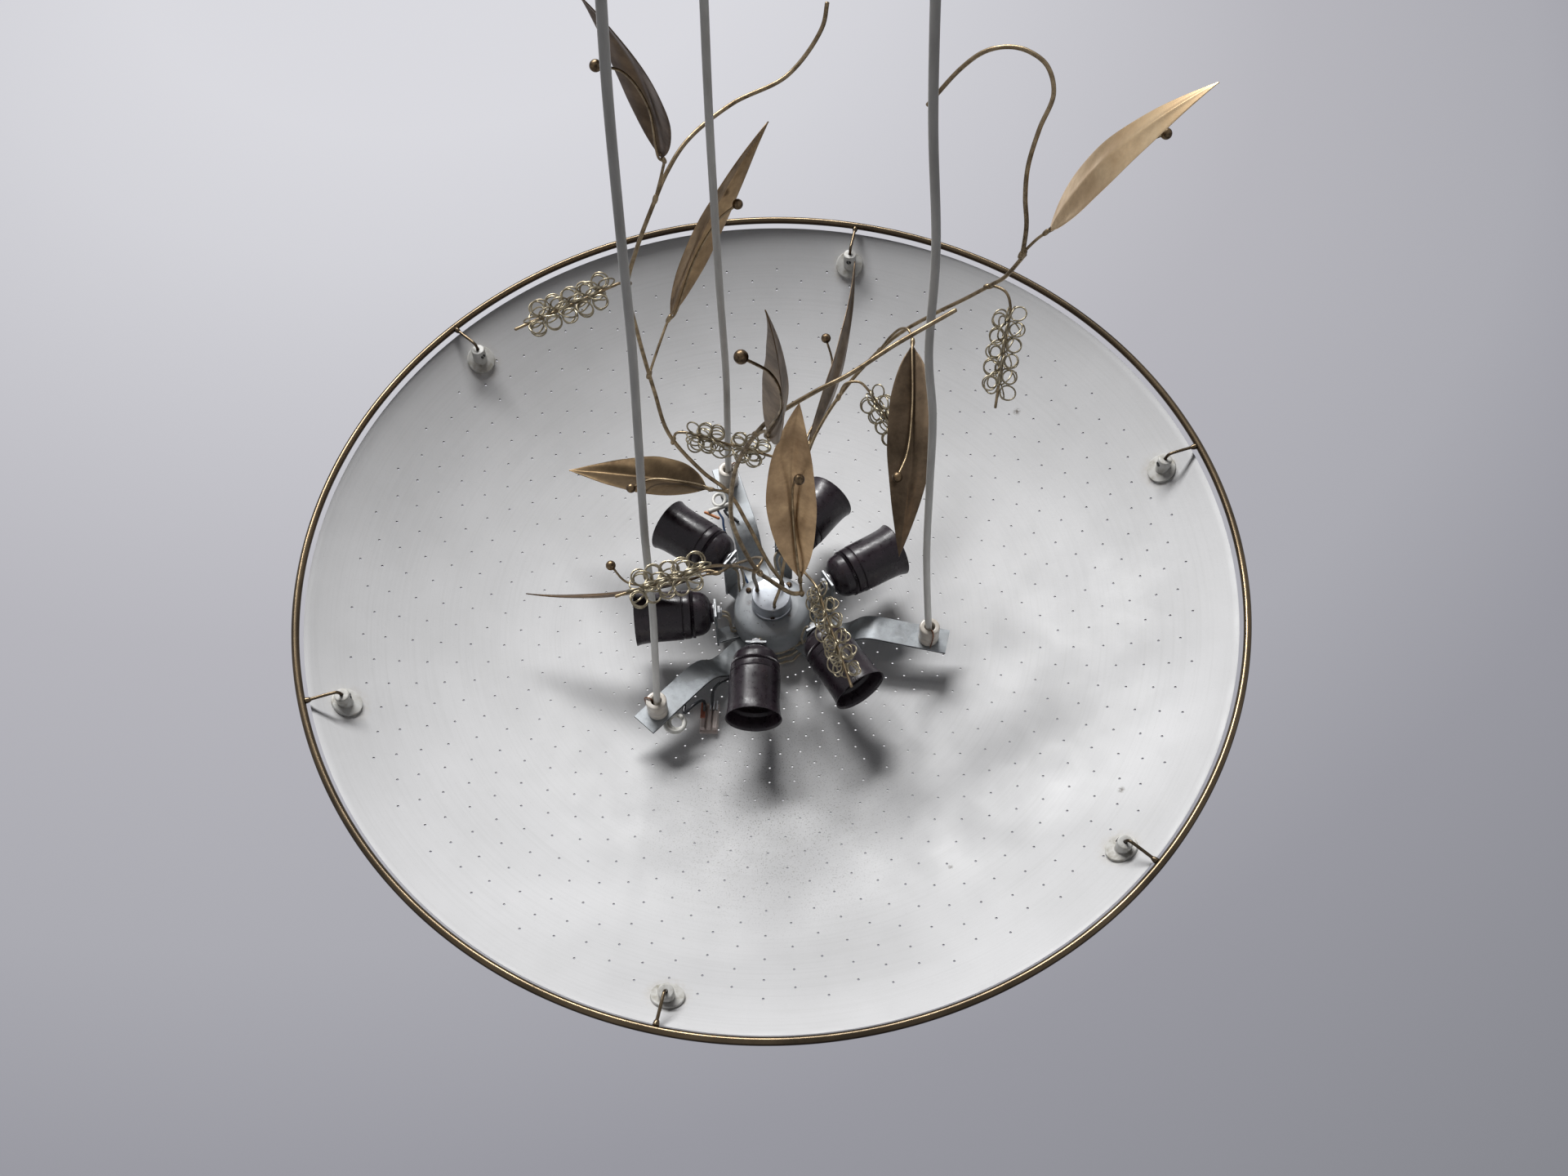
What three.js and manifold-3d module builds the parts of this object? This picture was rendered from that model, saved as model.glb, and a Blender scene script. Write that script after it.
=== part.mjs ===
// Hanging bowl lamp: a pinholed metal bowl on three cords, with a brass ring round its rim,
// six lampholders on a hub in its middle, and three brass sprigs that stand in the hub's cap.
// Millimetres, +Z up. The origin is where the ceiling plate meets the ceiling, on the lamp's axis.
import * as THREE from "three";
import { mergeVertices } from "three/addons/utils/BufferGeometryUtils.js";
import Module from "manifold-3d";

const wasm = await Module();
wasm.setup();

const { PI, cos, sin, tan, max, pow, sqrt } = Math;
const rad = (degrees) => (degrees * PI) / 180;

// Clearances
const GAP = 0.3; // between pieces that touch or turn in each other
const BOWL_SEAT = 0.7; // between the flat foot of a post and the hollow of the bowl

// Ceiling fitting
const DROP = 680; // from the ceiling down to the plane of the ring
const PLATE_RADIUS = 45;
const PLATE_THICK = 3;
const PLATE_SCREW_CIRCLE = 30;
const PLATE_SCREW_HOLE_RADIUS = 2.5;
const STUD_RADIUS = 4;
const CANOPY_RADIUS = 110;
const CANOPY_HEIGHT = 28;
const CANOPY_WALL = 1.5;
const CANOPY_BEND = 8;
const CANOPY_NUT_RADIUS = 9;
const CANOPY_NUT_HEIGHT = 9;
const GRIP_RADIUS = 7;
const GRIP_HEIGHT = 14;
const GRIP_NECK_RADIUS = 4.5;
const GRIP_NECK_HEIGHT = 5;

// Cords
const CORD_RADIUS = 2.75;
const CORD_TOP_CIRCLE = 90; // radius of the circle of grips under the canopy
const ARM_AZIMUTHS = [225.5, 345.5, 105.5];

// Arms and bushings
const ARM_LENGTH = 148; // reach from the axis
const ARM_START = 10;
const ARM_WIDTH = 22;
const ARM_THICK = 2;
const ARM_RISE = 25; // from the hub's clamp up to the flat end
const ARM_RISE_START = 54;
const ARM_RISE_END = 86;
const BUSHING_INSET = 16; // from the end of an arm in to its bushing
const BUSHING_CIRCLE = ARM_LENGTH - BUSHING_INSET;
const BUSHING_RADIUS = 8.3;
const BUSHING_HEIGHT = 19;
const BUSHING_BORE_RADIUS = 4.3;
const BUSHING_BORE_DEPTH = 12;

// Bowl
const BOWL_RADIUS = 370;
const BOWL_DEPTH = 90;
const BOWL_THICK = 1.2;
const BOWL_CURVE = 3; // power of the radius: flat in the middle, steep at the rim
const BOWL_RIM_DROP = 4.7; // rim below the plane of the ring
const BOWL_STATIONS = [0.243, 0.486, 0.662, 0.797, 0.903, 0.957]; // where its curve is stepped, from axis to rim
const BOWL_SIDES = 48;

// Ring, its hooks and the posts that hold them
const RING_OVERHANG = 5; // from the rim of the bowl out to the middle of the ring's wire
const RING_RADIUS = BOWL_RADIUS + RING_OVERHANG;
const RING_WIRE_RADIUS = 3.1;
const POST_COUNT = 6;
const FIRST_POST_AZIMUTH = 77;
const POST_INSET = 24; // from the rim of the bowl in to the posts
const POST_CIRCLE = BOWL_RADIUS - POST_INSET;
const POST_RADIUS = 5.8;
const POST_HEIGHT = 15;
const POST_FOOT_RADIUS = 12.2;
const POST_FOOT_THICK = 2;
const POST_HOLE_DEPTH = 9;
const HOOK_WIRE_RADIUS = 1.25;
const HOOK_BEND = 5;

// Hub, from the bowl up
const ROD_RADIUS = 5;
const ROD_NUT_RADIUS = 9.5;
const ROD_NUT_HEIGHT = 3.6;
const CLAMP_RADIUS = 24;
const CLAMP_THICK = 2;
const SOCKET_PLATE_RADIUS = 29;
const SOCKET_PLATE_THICK = 1.6;
const CUP_RADIUS = 31.5;
const CUP_HEIGHT = 27;
const CUP_WALL = 1.5;
const CUP_SHOULDER = 8;
const CUP_SCREW_CIRCLE = 23.5;
const CUP_SCREW_AZIMUTHS = [51, 144];
const CUP_SCREW_HOLE_RADIUS = 2;
const CAP_RADIUS = 15.7;
const CAP_HEIGHT = 16;
const CAP_BORE_DEPTH = 9;
const FINIAL_RADIUS = 14;
const FINIAL_HEIGHT = 16;

// Lampholders
const HOLDER_PAIR_AZIMUTHS = [285.5, 45.5, 165.5];
const HOLDER_SPREAD = 31; // the back of a holder, either side of its pair's middle, in degrees
const HOLDER_SPLAY = 16; // the way a holder points, either side of its pair's middle, in degrees
const HOLDER_STRAYS = [-2, 0, -1, -10, -6, 2]; // the tabs are bent a little out of true, in degrees
const HOLDER_CIRCLE = 49; // radius of the circle of the holders' backs
const HOLDER_AXIS_DROP = 4; // holders' axes below the top of the hub's cap
const TAB_WIDTH = 17;
const TAB_ABOVE_AXIS = 8;
const DOME_LENGTH = 18.5;
const DOME_RADIUS = 18.6;
const DOME_COLLAR_RADIUS = 8;
const DOME_COLLAR_LENGTH = 2.5;
const INSERT_RADIUS = 16.9;
const INSERT_LENGTH = 25;
const INSERT_WALL = 3.3;
const INSERT_FLOOR = 7;
const SHELL_LENGTH = 45.5;
const SHELL_RADIUS = 20.5;
const SHELL_MOUTH_RADIUS = 22.5;
const SHELL_WALL = 2.6;
const SHELL_FLARE = 11;
const HOLDER_SIDES = 12;

// Sprigs
const SPRIG_HEIGHT = 509; // from the cap up to the tip of the highest leaf
const STEM_HOLE_CIRCLE = 12.2;
const STEM_HOLE_DEPTH = 10;
const STEM_UPRIGHT = 5; // straight above the cap before it bends
const BALL_RADIUS = 4;
const STAMEN_RADIUS = 0.9;
const STAMEN_LIFT = 3.2; // stamen above the fold of its leaf
const TWIG_RADIUS = 1.1;
const LEAF_WIDTH = 37;
const LEAF_THICK = 0.8;
const LEAF_FOLD = 20; // each half of a leaf is turned up this far, in degrees
const LEAF_BOW = 10; // how far the middle of most leaves bows away from their hollow side
const LEAF_STATIONS = 8;
const LEAF_ROOT_HALF_WIDTH = 1.6;
const LEAF_SHAPE = 0.78; // under 1 moves the widest place towards the root
const LEAF_FULLNESS = 0.9; // under 1 rounds the outline
const CATKIN_CURLS = 7; // on each of six catkins
const CATKIN_TURNS = 3;
const CURL_RADIUS = 5.4;
const CURL_WIRE_RADIUS = 0.5;
const CURL_STEPS = 8;
const CURL_SIDES = 5;
const CATKIN_BARE_END = 7; // bare stalk past the last curl

// Finishes
const finish = (color, roughness, metalness) =>
  new THREE.MeshStandardMaterial({ color, roughness, metalness });
const CANOPY_PAINT = finish(0xe4e4e2, 0.45, 0);
const CORD_PVC = finish(0xc9c9c6, 0.5, 0);
const PORCELAIN = finish(0xeee3da, 0.3, 0);
const GALVANISED = finish(0x8f979c, 0.5, 0.8);
const HUB_PAINT = finish(0x9aa3ab, 0.45, 0.1);
const STEEL = finish(0x9a9c9e, 0.4, 0.9);
const BAKELITE = finish(0x2c2328, 0.35, 0);
const BOWL_PAINT = finish(0xcfd0d1, 0.6, 0);
const DARK_BRASS = finish(0x7a6440, 0.35, 1);
const LEAF_BRASS = finish(0x9a7a4a, 0.4, 1);

// Solids and joins

// A closed geometry as a solid: only positions are kept, so that shared corners merge.
function solidOf(geometry) {
  const bare = new THREE.BufferGeometry();
  bare.setAttribute("position", geometry.getAttribute("position").clone());
  if (geometry.index) bare.setIndex(geometry.index.clone());
  const merged = mergeVertices(bare, 1e-3);
  return new wasm.Manifold(
    new wasm.Mesh({
      numProp: 3,
      vertProperties: new Float32Array(merged.attributes.position.array),
      triVerts: new Uint32Array(merged.index.array),
    }),
  );
}

function geometryOf(solid) {
  const mesh = solid.getMesh();
  const geometry = new THREE.BufferGeometry();
  geometry.setAttribute("position", new THREE.BufferAttribute(mesh.vertProperties, 3));
  geometry.setIndex(new THREE.BufferAttribute(mesh.triVerts, 1));
  return geometry;
}

const join = (...pieces) =>
  geometryOf(pieces.map(solidOf).reduce((whole, piece) => whole.add(piece)));

const cut = (body, ...tools) =>
  geometryOf(tools.map(solidOf).reduce((whole, tool) => whole.subtract(tool), solidOf(body)));

// A round turned piece about Z from a closed outline of [radius, z], in either direction.
function turned(outline, sides) {
  const points = outline.map(([r, z]) => new THREE.Vector2(r, z));
  if (THREE.ShapeUtils.area(points) < 0) points.reverse();
  points.push(points[0].clone());
  return new THREE.LatheGeometry(points, sides).rotateX(PI / 2);
}

function cylinder(radius, bottom, top, sides) {
  return new THREE.CylinderGeometry(radius, radius, top - bottom, sides)
    .rotateX(PI / 2)
    .translate(0, 0, (top + bottom) / 2);
}

function box(x, y, z, centre) {
  return new THREE.BoxGeometry(x, y, z).translate(...centre);
}

const curveThrough = (points) => new THREE.CatmullRomCurve3(points, false, "centripetal");

// A round wire or rod along a smooth curve through the points.
function rod(points, radius, sides, steps) {
  const path = curveThrough(points);
  const section = new THREE.Shape();
  for (let i = 0; i < sides; i += 1) {
    const turn = (2 * PI * i) / sides;
    const at = [radius * cos(turn), radius * sin(turn)];
    if (i === 0) section.moveTo(...at);
    else section.lineTo(...at);
  }
  section.closePath();
  return new THREE.ExtrudeGeometry(section, { steps, extrudePath: path, bevelEnabled: false });
}

// The point nearest to the target on a rod made with these points and steps.
function nearestOn(points, steps, target) {
  const line = curveThrough(points).getSpacedPoints(steps);
  const candidates = line.slice(1).map((end, i) =>
    new THREE.Line3(line[i], end).closestPointToPoint(target, true, new THREE.Vector3()),
  );
  return candidates.reduce((best, point) =>
    point.distanceToSquared(target) < best.distanceToSquared(target) ? point : best,
  );
}

// A point of the sprigs' table, which is drawn for a height of 509
const vec = ([x, y, z]) => new THREE.Vector3(x, y, z).multiplyScalar(SPRIG_HEIGHT / 509);

function around(radius, azimuth, z = 0) {
  return new THREE.Vector3(radius * cos(rad(azimuth)), radius * sin(rad(azimuth)), z);
}

const lamp = new THREE.Group();
const belowCeiling = new THREE.Group(); // its z = 0 is the plane of the ring
belowCeiling.position.z = -DROP;
lamp.add(belowCeiling);

function add(group, name, geometry, material) {
  const mesh = new THREE.Mesh(geometry, material);
  mesh.name = name;
  group.add(mesh);
  return mesh;
}

// Heights of the stack on the axis, measured from the plane of the ring
const bowlHeight = (r) => -BOWL_RIM_DROP - BOWL_DEPTH * (1 - pow(r / BOWL_RADIUS, BOWL_CURVE));
const bowlSlope = (r) => (BOWL_DEPTH * BOWL_CURVE * pow(r / BOWL_RADIUS, BOWL_CURVE - 1)) / BOWL_RADIUS;
const nutBottom = bowlHeight(0) + GAP;
const clampTop = nutBottom + ROD_NUT_HEIGHT + CLAMP_THICK;
const armBottom = clampTop + GAP;
const socketPlateBottom = armBottom + ARM_THICK + GAP;
const socketPlateTop = socketPlateBottom + SOCKET_PLATE_THICK;
const cupBottom = socketPlateTop + GAP;
const cupTop = cupBottom + CUP_HEIGHT;
const capBottom = cupTop + GAP;
const capTop = capBottom + CAP_HEIGHT;
const armEndTop = armBottom + ARM_THICK + ARM_RISE;
const bushingBottom = armEndTop + GAP;
const bushingTop = bushingBottom + BUSHING_HEIGHT;
const canopyBottom = DROP - CANOPY_HEIGHT - GAP;
const holderAxis = capTop - HOLDER_AXIS_DROP;

// Ceiling fitting: a plate with a stud, a shallow canopy, its nut and three cord grips

function ceilingPlate() {
  const top = DROP;
  const plate = cylinder(PLATE_RADIUS, top - PLATE_THICK, top, 24);
  const stud = cylinder(STUD_RADIUS, canopyBottom - CANOPY_NUT_HEIGHT + 2, top - 1, 12);
  const holes = [0, 180].map((azimuth) => {
    const at = around(PLATE_SCREW_CIRCLE, azimuth);
    return cylinder(PLATE_SCREW_HOLE_RADIUS, top - PLATE_THICK - 1, top + 1, 8)
      .translate(at.x, at.y, 0);
  });
  return cut(join(plate, stud), ...holes);
}

function canopy() {
  const bottom = canopyBottom;
  const top = bottom + CANOPY_HEIGHT;
  const inner = CANOPY_BEND - CANOPY_WALL;
  const bend = (radius, steps) =>
    Array.from({ length: steps + 1 }, (_, i) => {
      const turn = (PI / 2) * (i / steps);
      return [
        CANOPY_RADIUS - CANOPY_BEND + radius * sin(turn),
        bottom + CANOPY_BEND - radius * cos(turn),
      ];
    });
  const outline = [
    [STUD_RADIUS + GAP, bottom],
    ...bend(CANOPY_BEND, 2),
    [CANOPY_RADIUS, top],
    [CANOPY_RADIUS - CANOPY_WALL, top],
    ...bend(inner, 2).reverse(),
    [STUD_RADIUS + GAP, bottom + CANOPY_WALL],
  ];
  const holes = ARM_AZIMUTHS.map((azimuth) => {
    const at = around(CORD_TOP_CIRCLE, azimuth);
    return cylinder(GRIP_NECK_RADIUS + GAP, bottom - 1, bottom + CANOPY_WALL + 1, 16)
      .translate(at.x, at.y, 0);
  });
  return cut(turned(outline, 24), ...holes);
}

function canopyNut() {
  const top = canopyBottom - GAP;
  const bottom = top - CANOPY_NUT_HEIGHT;
  const bore = STUD_RADIUS + GAP;
  return turned(
    [
      [0, bottom],
      [CANOPY_NUT_RADIUS * 0.6, bottom],
      [CANOPY_NUT_RADIUS, bottom + CANOPY_NUT_HEIGHT / 2],
      [CANOPY_NUT_RADIUS, top],
      [bore, top],
      [bore, bottom + 2 - GAP],
      [0, bottom + 2 - GAP],
    ],
    12,
  );
}

function cordGrip() {
  const top = canopyBottom - GAP;
  return turned(
    [
      [0, top - GRIP_HEIGHT],
      [GRIP_RADIUS * 0.7, top - GRIP_HEIGHT],
      [GRIP_RADIUS, top - GRIP_HEIGHT * 0.6],
      [GRIP_RADIUS, top],
      [GRIP_NECK_RADIUS, top],
      [GRIP_NECK_RADIUS, top + GRIP_NECK_HEIGHT],
      [0, top + GRIP_NECK_HEIGHT],
    ],
    10,
  );
}

add(belowCeiling, "ceiling_plate", ceilingPlate(), STEEL);
add(belowCeiling, "canopy", canopy(), CANOPY_PAINT);
add(belowCeiling, "canopy_nut", canopyNut(), STEEL);

// Cords: each leans in towards the ceiling and wanders a little to either side.
// Points by hand: [height above the bushing's floor, sideways].
const CORD_WANDER = {
  left: [[0, 0], [60, 1], [140, 2], [230, 0.5], [320, 1], [410, 1.5], [500, 0], [590, -1], [676, 0]],
  right: [[0, 0], [50, -1.5], [120, -2.5], [200, -1], [280, 0.5], [340, -2.5], [430, 1], [530, -1.5], [676, 0]],
  back: [[0, 0], [70, 1], [150, 2], [240, 0.5], [330, -0.5], [420, -1], [510, -0.5], [600, 0.5], [676, 0]],
};
const cordBottom = bushingTop - BUSHING_BORE_DEPTH + GAP;
const cordTop = canopyBottom - GAP - GRIP_HEIGHT - GAP;

function cordRoute(azimuth, wander) {
  const lowest = around(BUSHING_CIRCLE, azimuth, cordBottom);
  const highest = around(CORD_TOP_CIRCLE, azimuth, cordTop);
  const full = wander[wander.length - 1][0];
  return wander.map(([height, sideways]) =>
    lowest.clone().lerp(highest, height / full).add(new THREE.Vector3(sideways, 0, 0)),
  );
}

ARM_AZIMUTHS.forEach((azimuth, i) => {
  const side = Object.keys(CORD_WANDER)[i];
  const route = cordRoute(azimuth, CORD_WANDER[side]);
  add(belowCeiling, "cord_" + side, rod(route, CORD_RADIUS, 8, 20), CORD_PVC);
  const grip = add(belowCeiling, "cord_grip_" + side, cordGrip(), STEEL);
  grip.position.copy(around(CORD_TOP_CIRCLE, azimuth));
});

// Arms: flat strip, clamped under the hub, bent up and levelled to its bushing
function arm() {
  const low = armBottom;
  const high = low + ARM_RISE;
  const edge = (offset) => [
    [ARM_START, low + offset],
    [ARM_RISE_START, low + offset],
    [ARM_RISE_START + 10, low + ARM_RISE * 0.18 + offset],
    [ARM_RISE_END - 10, low + ARM_RISE * 0.82 + offset],
    [ARM_RISE_END, high + offset],
    [ARM_LENGTH, high + offset],
  ];
  const side = new THREE.Shape(
    [...edge(0), ...edge(ARM_THICK).reverse()].map(([r, z]) => new THREE.Vector2(r, z)),
  );
  return new THREE.ExtrudeGeometry(side, { depth: ARM_WIDTH, bevelEnabled: false })
    .rotateX(PI / 2)
    .translate(0, ARM_WIDTH / 2, 0);
}

function bushing() {
  const floor = bushingTop - BUSHING_BORE_DEPTH;
  return turned(
    [
      [0, bushingBottom],
      [BUSHING_RADIUS, bushingBottom],
      [BUSHING_RADIUS, bushingTop - 1.5],
      [BUSHING_RADIUS - 1.5, bushingTop],
      [BUSHING_BORE_RADIUS, bushingTop],
      [BUSHING_BORE_RADIUS, floor],
      [0, floor],
    ],
    11,
  );
}

ARM_AZIMUTHS.forEach((azimuth, i) => {
  const side = Object.keys(CORD_WANDER)[i];
  const carrier = new THREE.Group();
  carrier.rotation.z = rad(azimuth);
  belowCeiling.add(carrier);
  add(carrier, "arm_" + side, arm(), GALVANISED);
  const seat = add(carrier, "bushing_" + side, bushing(), PORCELAIN);
  seat.position.x = BUSHING_CIRCLE;
});

// Hub: rod, flanged nut, socket plate, cup, cap and the finial below the bowl

const finialTop = bowlHeight(0) - BOWL_THICK - GAP;
const rodTop = capBottom + CAP_BORE_DEPTH - GAP;
const rodBottom = finialTop - FINIAL_HEIGHT / 2 + GAP;

function rodNut() {
  const bore = ROD_RADIUS + GAP;
  return turned(
    [
      [bore, nutBottom],
      [ROD_NUT_RADIUS, nutBottom],
      [ROD_NUT_RADIUS, nutBottom + ROD_NUT_HEIGHT],
      [CLAMP_RADIUS, nutBottom + ROD_NUT_HEIGHT],
      [CLAMP_RADIUS, clampTop],
      [bore, clampTop],
    ],
    20,
  );
}

// Each holder's back and the way it points, pair by pair
const holders = HOLDER_STRAYS.map((stray, i) => {
  const middle = HOLDER_PAIR_AZIMUTHS[Math.floor(i / 2)];
  const side = i % 2 === 0 ? -1 : 1;
  const azimuth = middle + side * HOLDER_SPREAD;
  return {
    back: around(HOLDER_CIRCLE, azimuth, holderAxis),
    azimuth,
    points: middle + side * HOLDER_SPLAY + stray,
  };
});

// A star of thin plate whose six tabs are bent up to carry the lampholders
function socketPlate() {
  const disc = cylinder(SOCKET_PLATE_RADIUS, socketPlateBottom, socketPlateTop, 24);
  const middle = (socketPlateBottom + socketPlateTop) / 2;
  const tabTop = holderAxis + TAB_ABOVE_AXIS;
  const legs = holders.flatMap(({ back, azimuth, points }) => {
    const tabFace = SOCKET_PLATE_THICK / 2 + GAP;
    const foot = back.clone().sub(around(tabFace, points));
    const reach = HOLDER_CIRCLE - SOCKET_PLATE_RADIUS / 2;
    const leg = box(reach, TAB_WIDTH - 4, SOCKET_PLATE_THICK, [HOLDER_CIRCLE - reach / 2 - 1, 0, middle])
      .rotateZ(rad(azimuth));
    const tab = box(SOCKET_PLATE_THICK, TAB_WIDTH, tabTop - socketPlateBottom, [0, 0, 0])
      .rotateZ(rad(points))
      .translate(foot.x, foot.y, (tabTop + socketPlateBottom) / 2);
    return [leg, tab];
  });
  const bore = cylinder(ROD_RADIUS + GAP, socketPlateBottom - 1, socketPlateTop + 1, 12);
  return cut(join(disc, ...legs), bore);
}

function hubCup() {
  const shoulder = (radius, steps) =>
    Array.from({ length: steps + 1 }, (_, i) => {
      const turn = (PI / 2) * (i / steps);
      return [
        CUP_RADIUS - CUP_SHOULDER + radius * cos(turn),
        cupTop - CUP_SHOULDER + radius * sin(turn),
      ];
    });
  const bore = ROD_RADIUS + GAP;
  const outline = [
    [CUP_RADIUS - CUP_WALL, cupBottom],
    [CUP_RADIUS, cupBottom],
    ...shoulder(CUP_SHOULDER, 2),
    [bore, cupTop],
    [bore, cupTop - CUP_WALL],
    ...shoulder(CUP_SHOULDER - CUP_WALL, 2).reverse(),
  ];
  const screwHoles = CUP_SCREW_AZIMUTHS.map((azimuth) => {
    const at = around(CUP_SCREW_CIRCLE, azimuth);
    return cylinder(CUP_SCREW_HOLE_RADIUS, cupTop - 6, cupTop + 1, 8).translate(at.x, at.y, 0);
  });
  return cut(turned(outline, 24), ...screwHoles);
}

// The sprigs: driving points by hand, measured from the middle of the cap's top face.
// A leaf's wide is its width against LEAF_WIDTH, fold replaces LEAF_FOLD, and bow is how far its
// middle bows away from its hollow side and sideways, both against LEAF_BOW.
const SPRIGS = {
  a: {
    hole: 41,
    stemRadius: 1.6,
    stem: [
      [-1, 14, 24], [-18, 40, 46], [-32, 59, 62], [-53, 71, 76], [-78, 90, 102], [-87, 108, 132],
      [-96, 122, 190], [-99, 128, 232], [-90, 137, 261], [-77, 152, 287], [-65, 169, 305],
      [-50, 188, 316], [-18, 216, 323], [22, 236, 330], [47, 256, 354], [51, 265, 369],
    ],
    leaves: {
      1: {
        stem: [[-75, 156, 291], [-68, 163, 311]],
        base: [-67, 161, 327], tip: [-102, 127, 488], faces: [-0.63, -0.72, -0.29],
        wide: 1.1, fold: 12, bow: [0.9, -0.6], ball: [-99, 127, 436], along: 0.55,
      },
      2: {
        stem: [[-89, 112, 148], [-81, 136, 159]],
        base: [-72, 154, 170], tip: [7, 219, 303], faces: [0.71, -0.7, -0.08],
        wide: 1.08, fold: 10, bow: [0.2, 1], ball: [-17, 186, 254], along: 0.5,
      },
      3: {
        stem: [[-33, 60, 63], [-40, 60, 64]],
        base: [-50, 60, 67], tip: [-169, 117, 16], faces: [-0.33, 0.15, 0.93],
        wide: 1.1, fold: 16, bow: [0.9, -0.9], ball: [-112, 72, 53], along: 0.38,
      },
    },
    catkins: {
      1: { stem: [[-99, 129, 234], [-104, 124, 240]], start: [-108, 121, 241], end: [-177, 80, 243] },
      2: { stem: [[-73, 87, 97], [-72, 89, 103]], start: [-64, 88, 105], end: [8, 67, 97] },
    },
  },
  b: {
    hole: 161,
    stemRadius: 1.6,
    stem: [[-13, -15, 53], [-10, -36, 99], [-7, -47, 110]],
    bough: [
      [26, -37, 63], [17, -39, 66], [8, -38, 74], [0, -41, 90], [-7, -47, 110], [-17, -60, 163],
      [-24, -64, 207], [-23, -69, 246], [-18, -73, 285], [-7, -80, 323], [5, -83, 347],
      [31, -80, 368], [52, -75, 378], [79, -62, 388], [116, -43, 396],
    ],
    boughRadius: 1.5,
    leaves: {
      4: {
        stem: [[-4, -81, 330], [2, -88, 341]],
        base: [4, -95, 347], tip: [5, -138, 509], faces: [-0.96, -0.29, -0.07],
        wide: 1.04, fold: 28, bow: [0.9, -0.9], ball: [-9, -132, 466], along: 0.6,
      },
      5: {
        stem: [[25, -38, 63], [23, -37, 80]],
        base: [23, -38, 90], tip: [24, 1, 253], faces: [-0.14, -0.96, 0.23],
        wide: 1.1, fold: 25, bow: [1.3, 0.7], ball: [23, -25, 199], along: 0.5,
      },
      6: {
        stem: [[-8, -49, 121], [-5, -43, 122], [-9, -33, 110], [-18, -20, 85], [-30, -10, 62]],
        base: [-47, -6, 44], tip: [-200, 2, 6], faces: [-0.11, 0.78, 0.61],
        wide: 0.5, ball: [-127, 4, 44], along: 0.42,
      },
    },
    catkins: {
      3: {
        stem: [[-7, -48, 112], [-14, -58, 133], [-21, -73, 162], [-27, -85, 183]],
        start: [-40, -97, 202], end: [-102, -123, 209],
      },
    },
  },
  c: {
    hole: 281,
    stemRadius: 1.3,
    stem: [
      [7, -3, 13], [9, 1, 27], [18, 35, 52], [34, 91, 76], [46, 112, 86], [61, 130, 97],
      [79, 143, 114], [104, 154, 137], [132, 155, 161], [156, 151, 184], [171, 145, 204],
      [180, 138, 221], [191, 131, 253],
    ],
    bough: [
      [189, 131, 250], [188, 130, 284], [185, 135, 306], [185, 142, 328], [191, 153, 351],
      [200, 168, 368], [196, 184, 378], [184, 194, 382], [171, 200, 381], [156, 204, 374],
      [141, 204, 360], [119, 198, 333],
    ],
    boughRadius: 1.7,
    leaves: {
      7: {
        stem: [[28, 70, 67], [31, 84, 70]],
        base: [34, 97, 77], tip: [77, 255, 114], faces: [-0.95, 0.29, -0.11],
        wide: 1.03, fold: 11, bow: [0.8, 1.2], ball: [50, 183, 102], along: 0.42,
      },
      8: {
        stem: [[91, 150, 126], [100, 148, 145], [107, 145, 157], [112, 138, 163]],
        base: [114, 123, 160], tip: [97, -36, 111], faces: [-0.12, -0.28, 0.95],
        wide: 1.04, bow: [-0.5, 0.4], ball: [97, 14, 143], along: 0.5,
      },
      9: {
        stem: [[190, 131, 254], [198, 133, 266]],
        base: [206, 133, 276], tip: [291, 117, 420], faces: [0.86, 0.09, -0.5],
        wide: 0.93, fold: 12, bow: [2.1, 0.6], ball: [271, 131, 365], along: 0.55,
      },
    },
    catkins: {
      4: {
        stem: [[58, 127, 95], [64, 132, 106], [75, 131, 109]],
        start: [82, 125, 106], end: [118, 72, 78],
      },
      5: {
        stem: [[170, 145, 203], [176, 143, 205], [183, 137, 205]],
        start: [186, 129, 199], end: [172, 60, 164],
      },
      6: {
        stem: [[14, 20, 42], [20, 8, 40], [27, -6, 43]],
        start: [36, -25, 51], end: [60, -111, 46],
      },
    },
  },
};

const capMiddle = new THREE.Group(); // its origin is the middle of the cap's top face
capMiddle.position.z = capTop;
belowCeiling.add(capMiddle);

const stemHoleRadius = (sprig) => sprig.stemRadius + GAP;

function hubCap() {
  const blank = turned(
    [
      [0, capBottom],
      [CAP_RADIUS, capBottom],
      [CAP_RADIUS, capTop - 1.2],
      [CAP_RADIUS - 1.2, capTop],
      [0, capTop],
    ],
    24,
  );
  const bore = cylinder(ROD_RADIUS + GAP, capBottom - 1, capBottom + CAP_BORE_DEPTH, 12);
  const stemHoles = Object.values(SPRIGS).map((sprig) => {
    const at = around(STEM_HOLE_CIRCLE, sprig.hole);
    return cylinder(stemHoleRadius(sprig), capTop - STEM_HOLE_DEPTH, capTop + 1, 10)
      .translate(at.x, at.y, 0);
  });
  return cut(blank, bore, ...stemHoles);
}

function finial() {
  const bottom = finialTop - FINIAL_HEIGHT;
  const bore = ROD_RADIUS + GAP;
  return turned(
    [
      [0, bottom],
      [FINIAL_RADIUS * 0.45, bottom],
      [FINIAL_RADIUS * 0.85, bottom + FINIAL_HEIGHT * 0.3],
      [FINIAL_RADIUS, bottom + FINIAL_HEIGHT * 0.7],
      [FINIAL_RADIUS, finialTop],
      [bore, finialTop],
      [bore, rodBottom - GAP],
      [0, rodBottom - GAP],
    ],
    18,
  );
}

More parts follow.
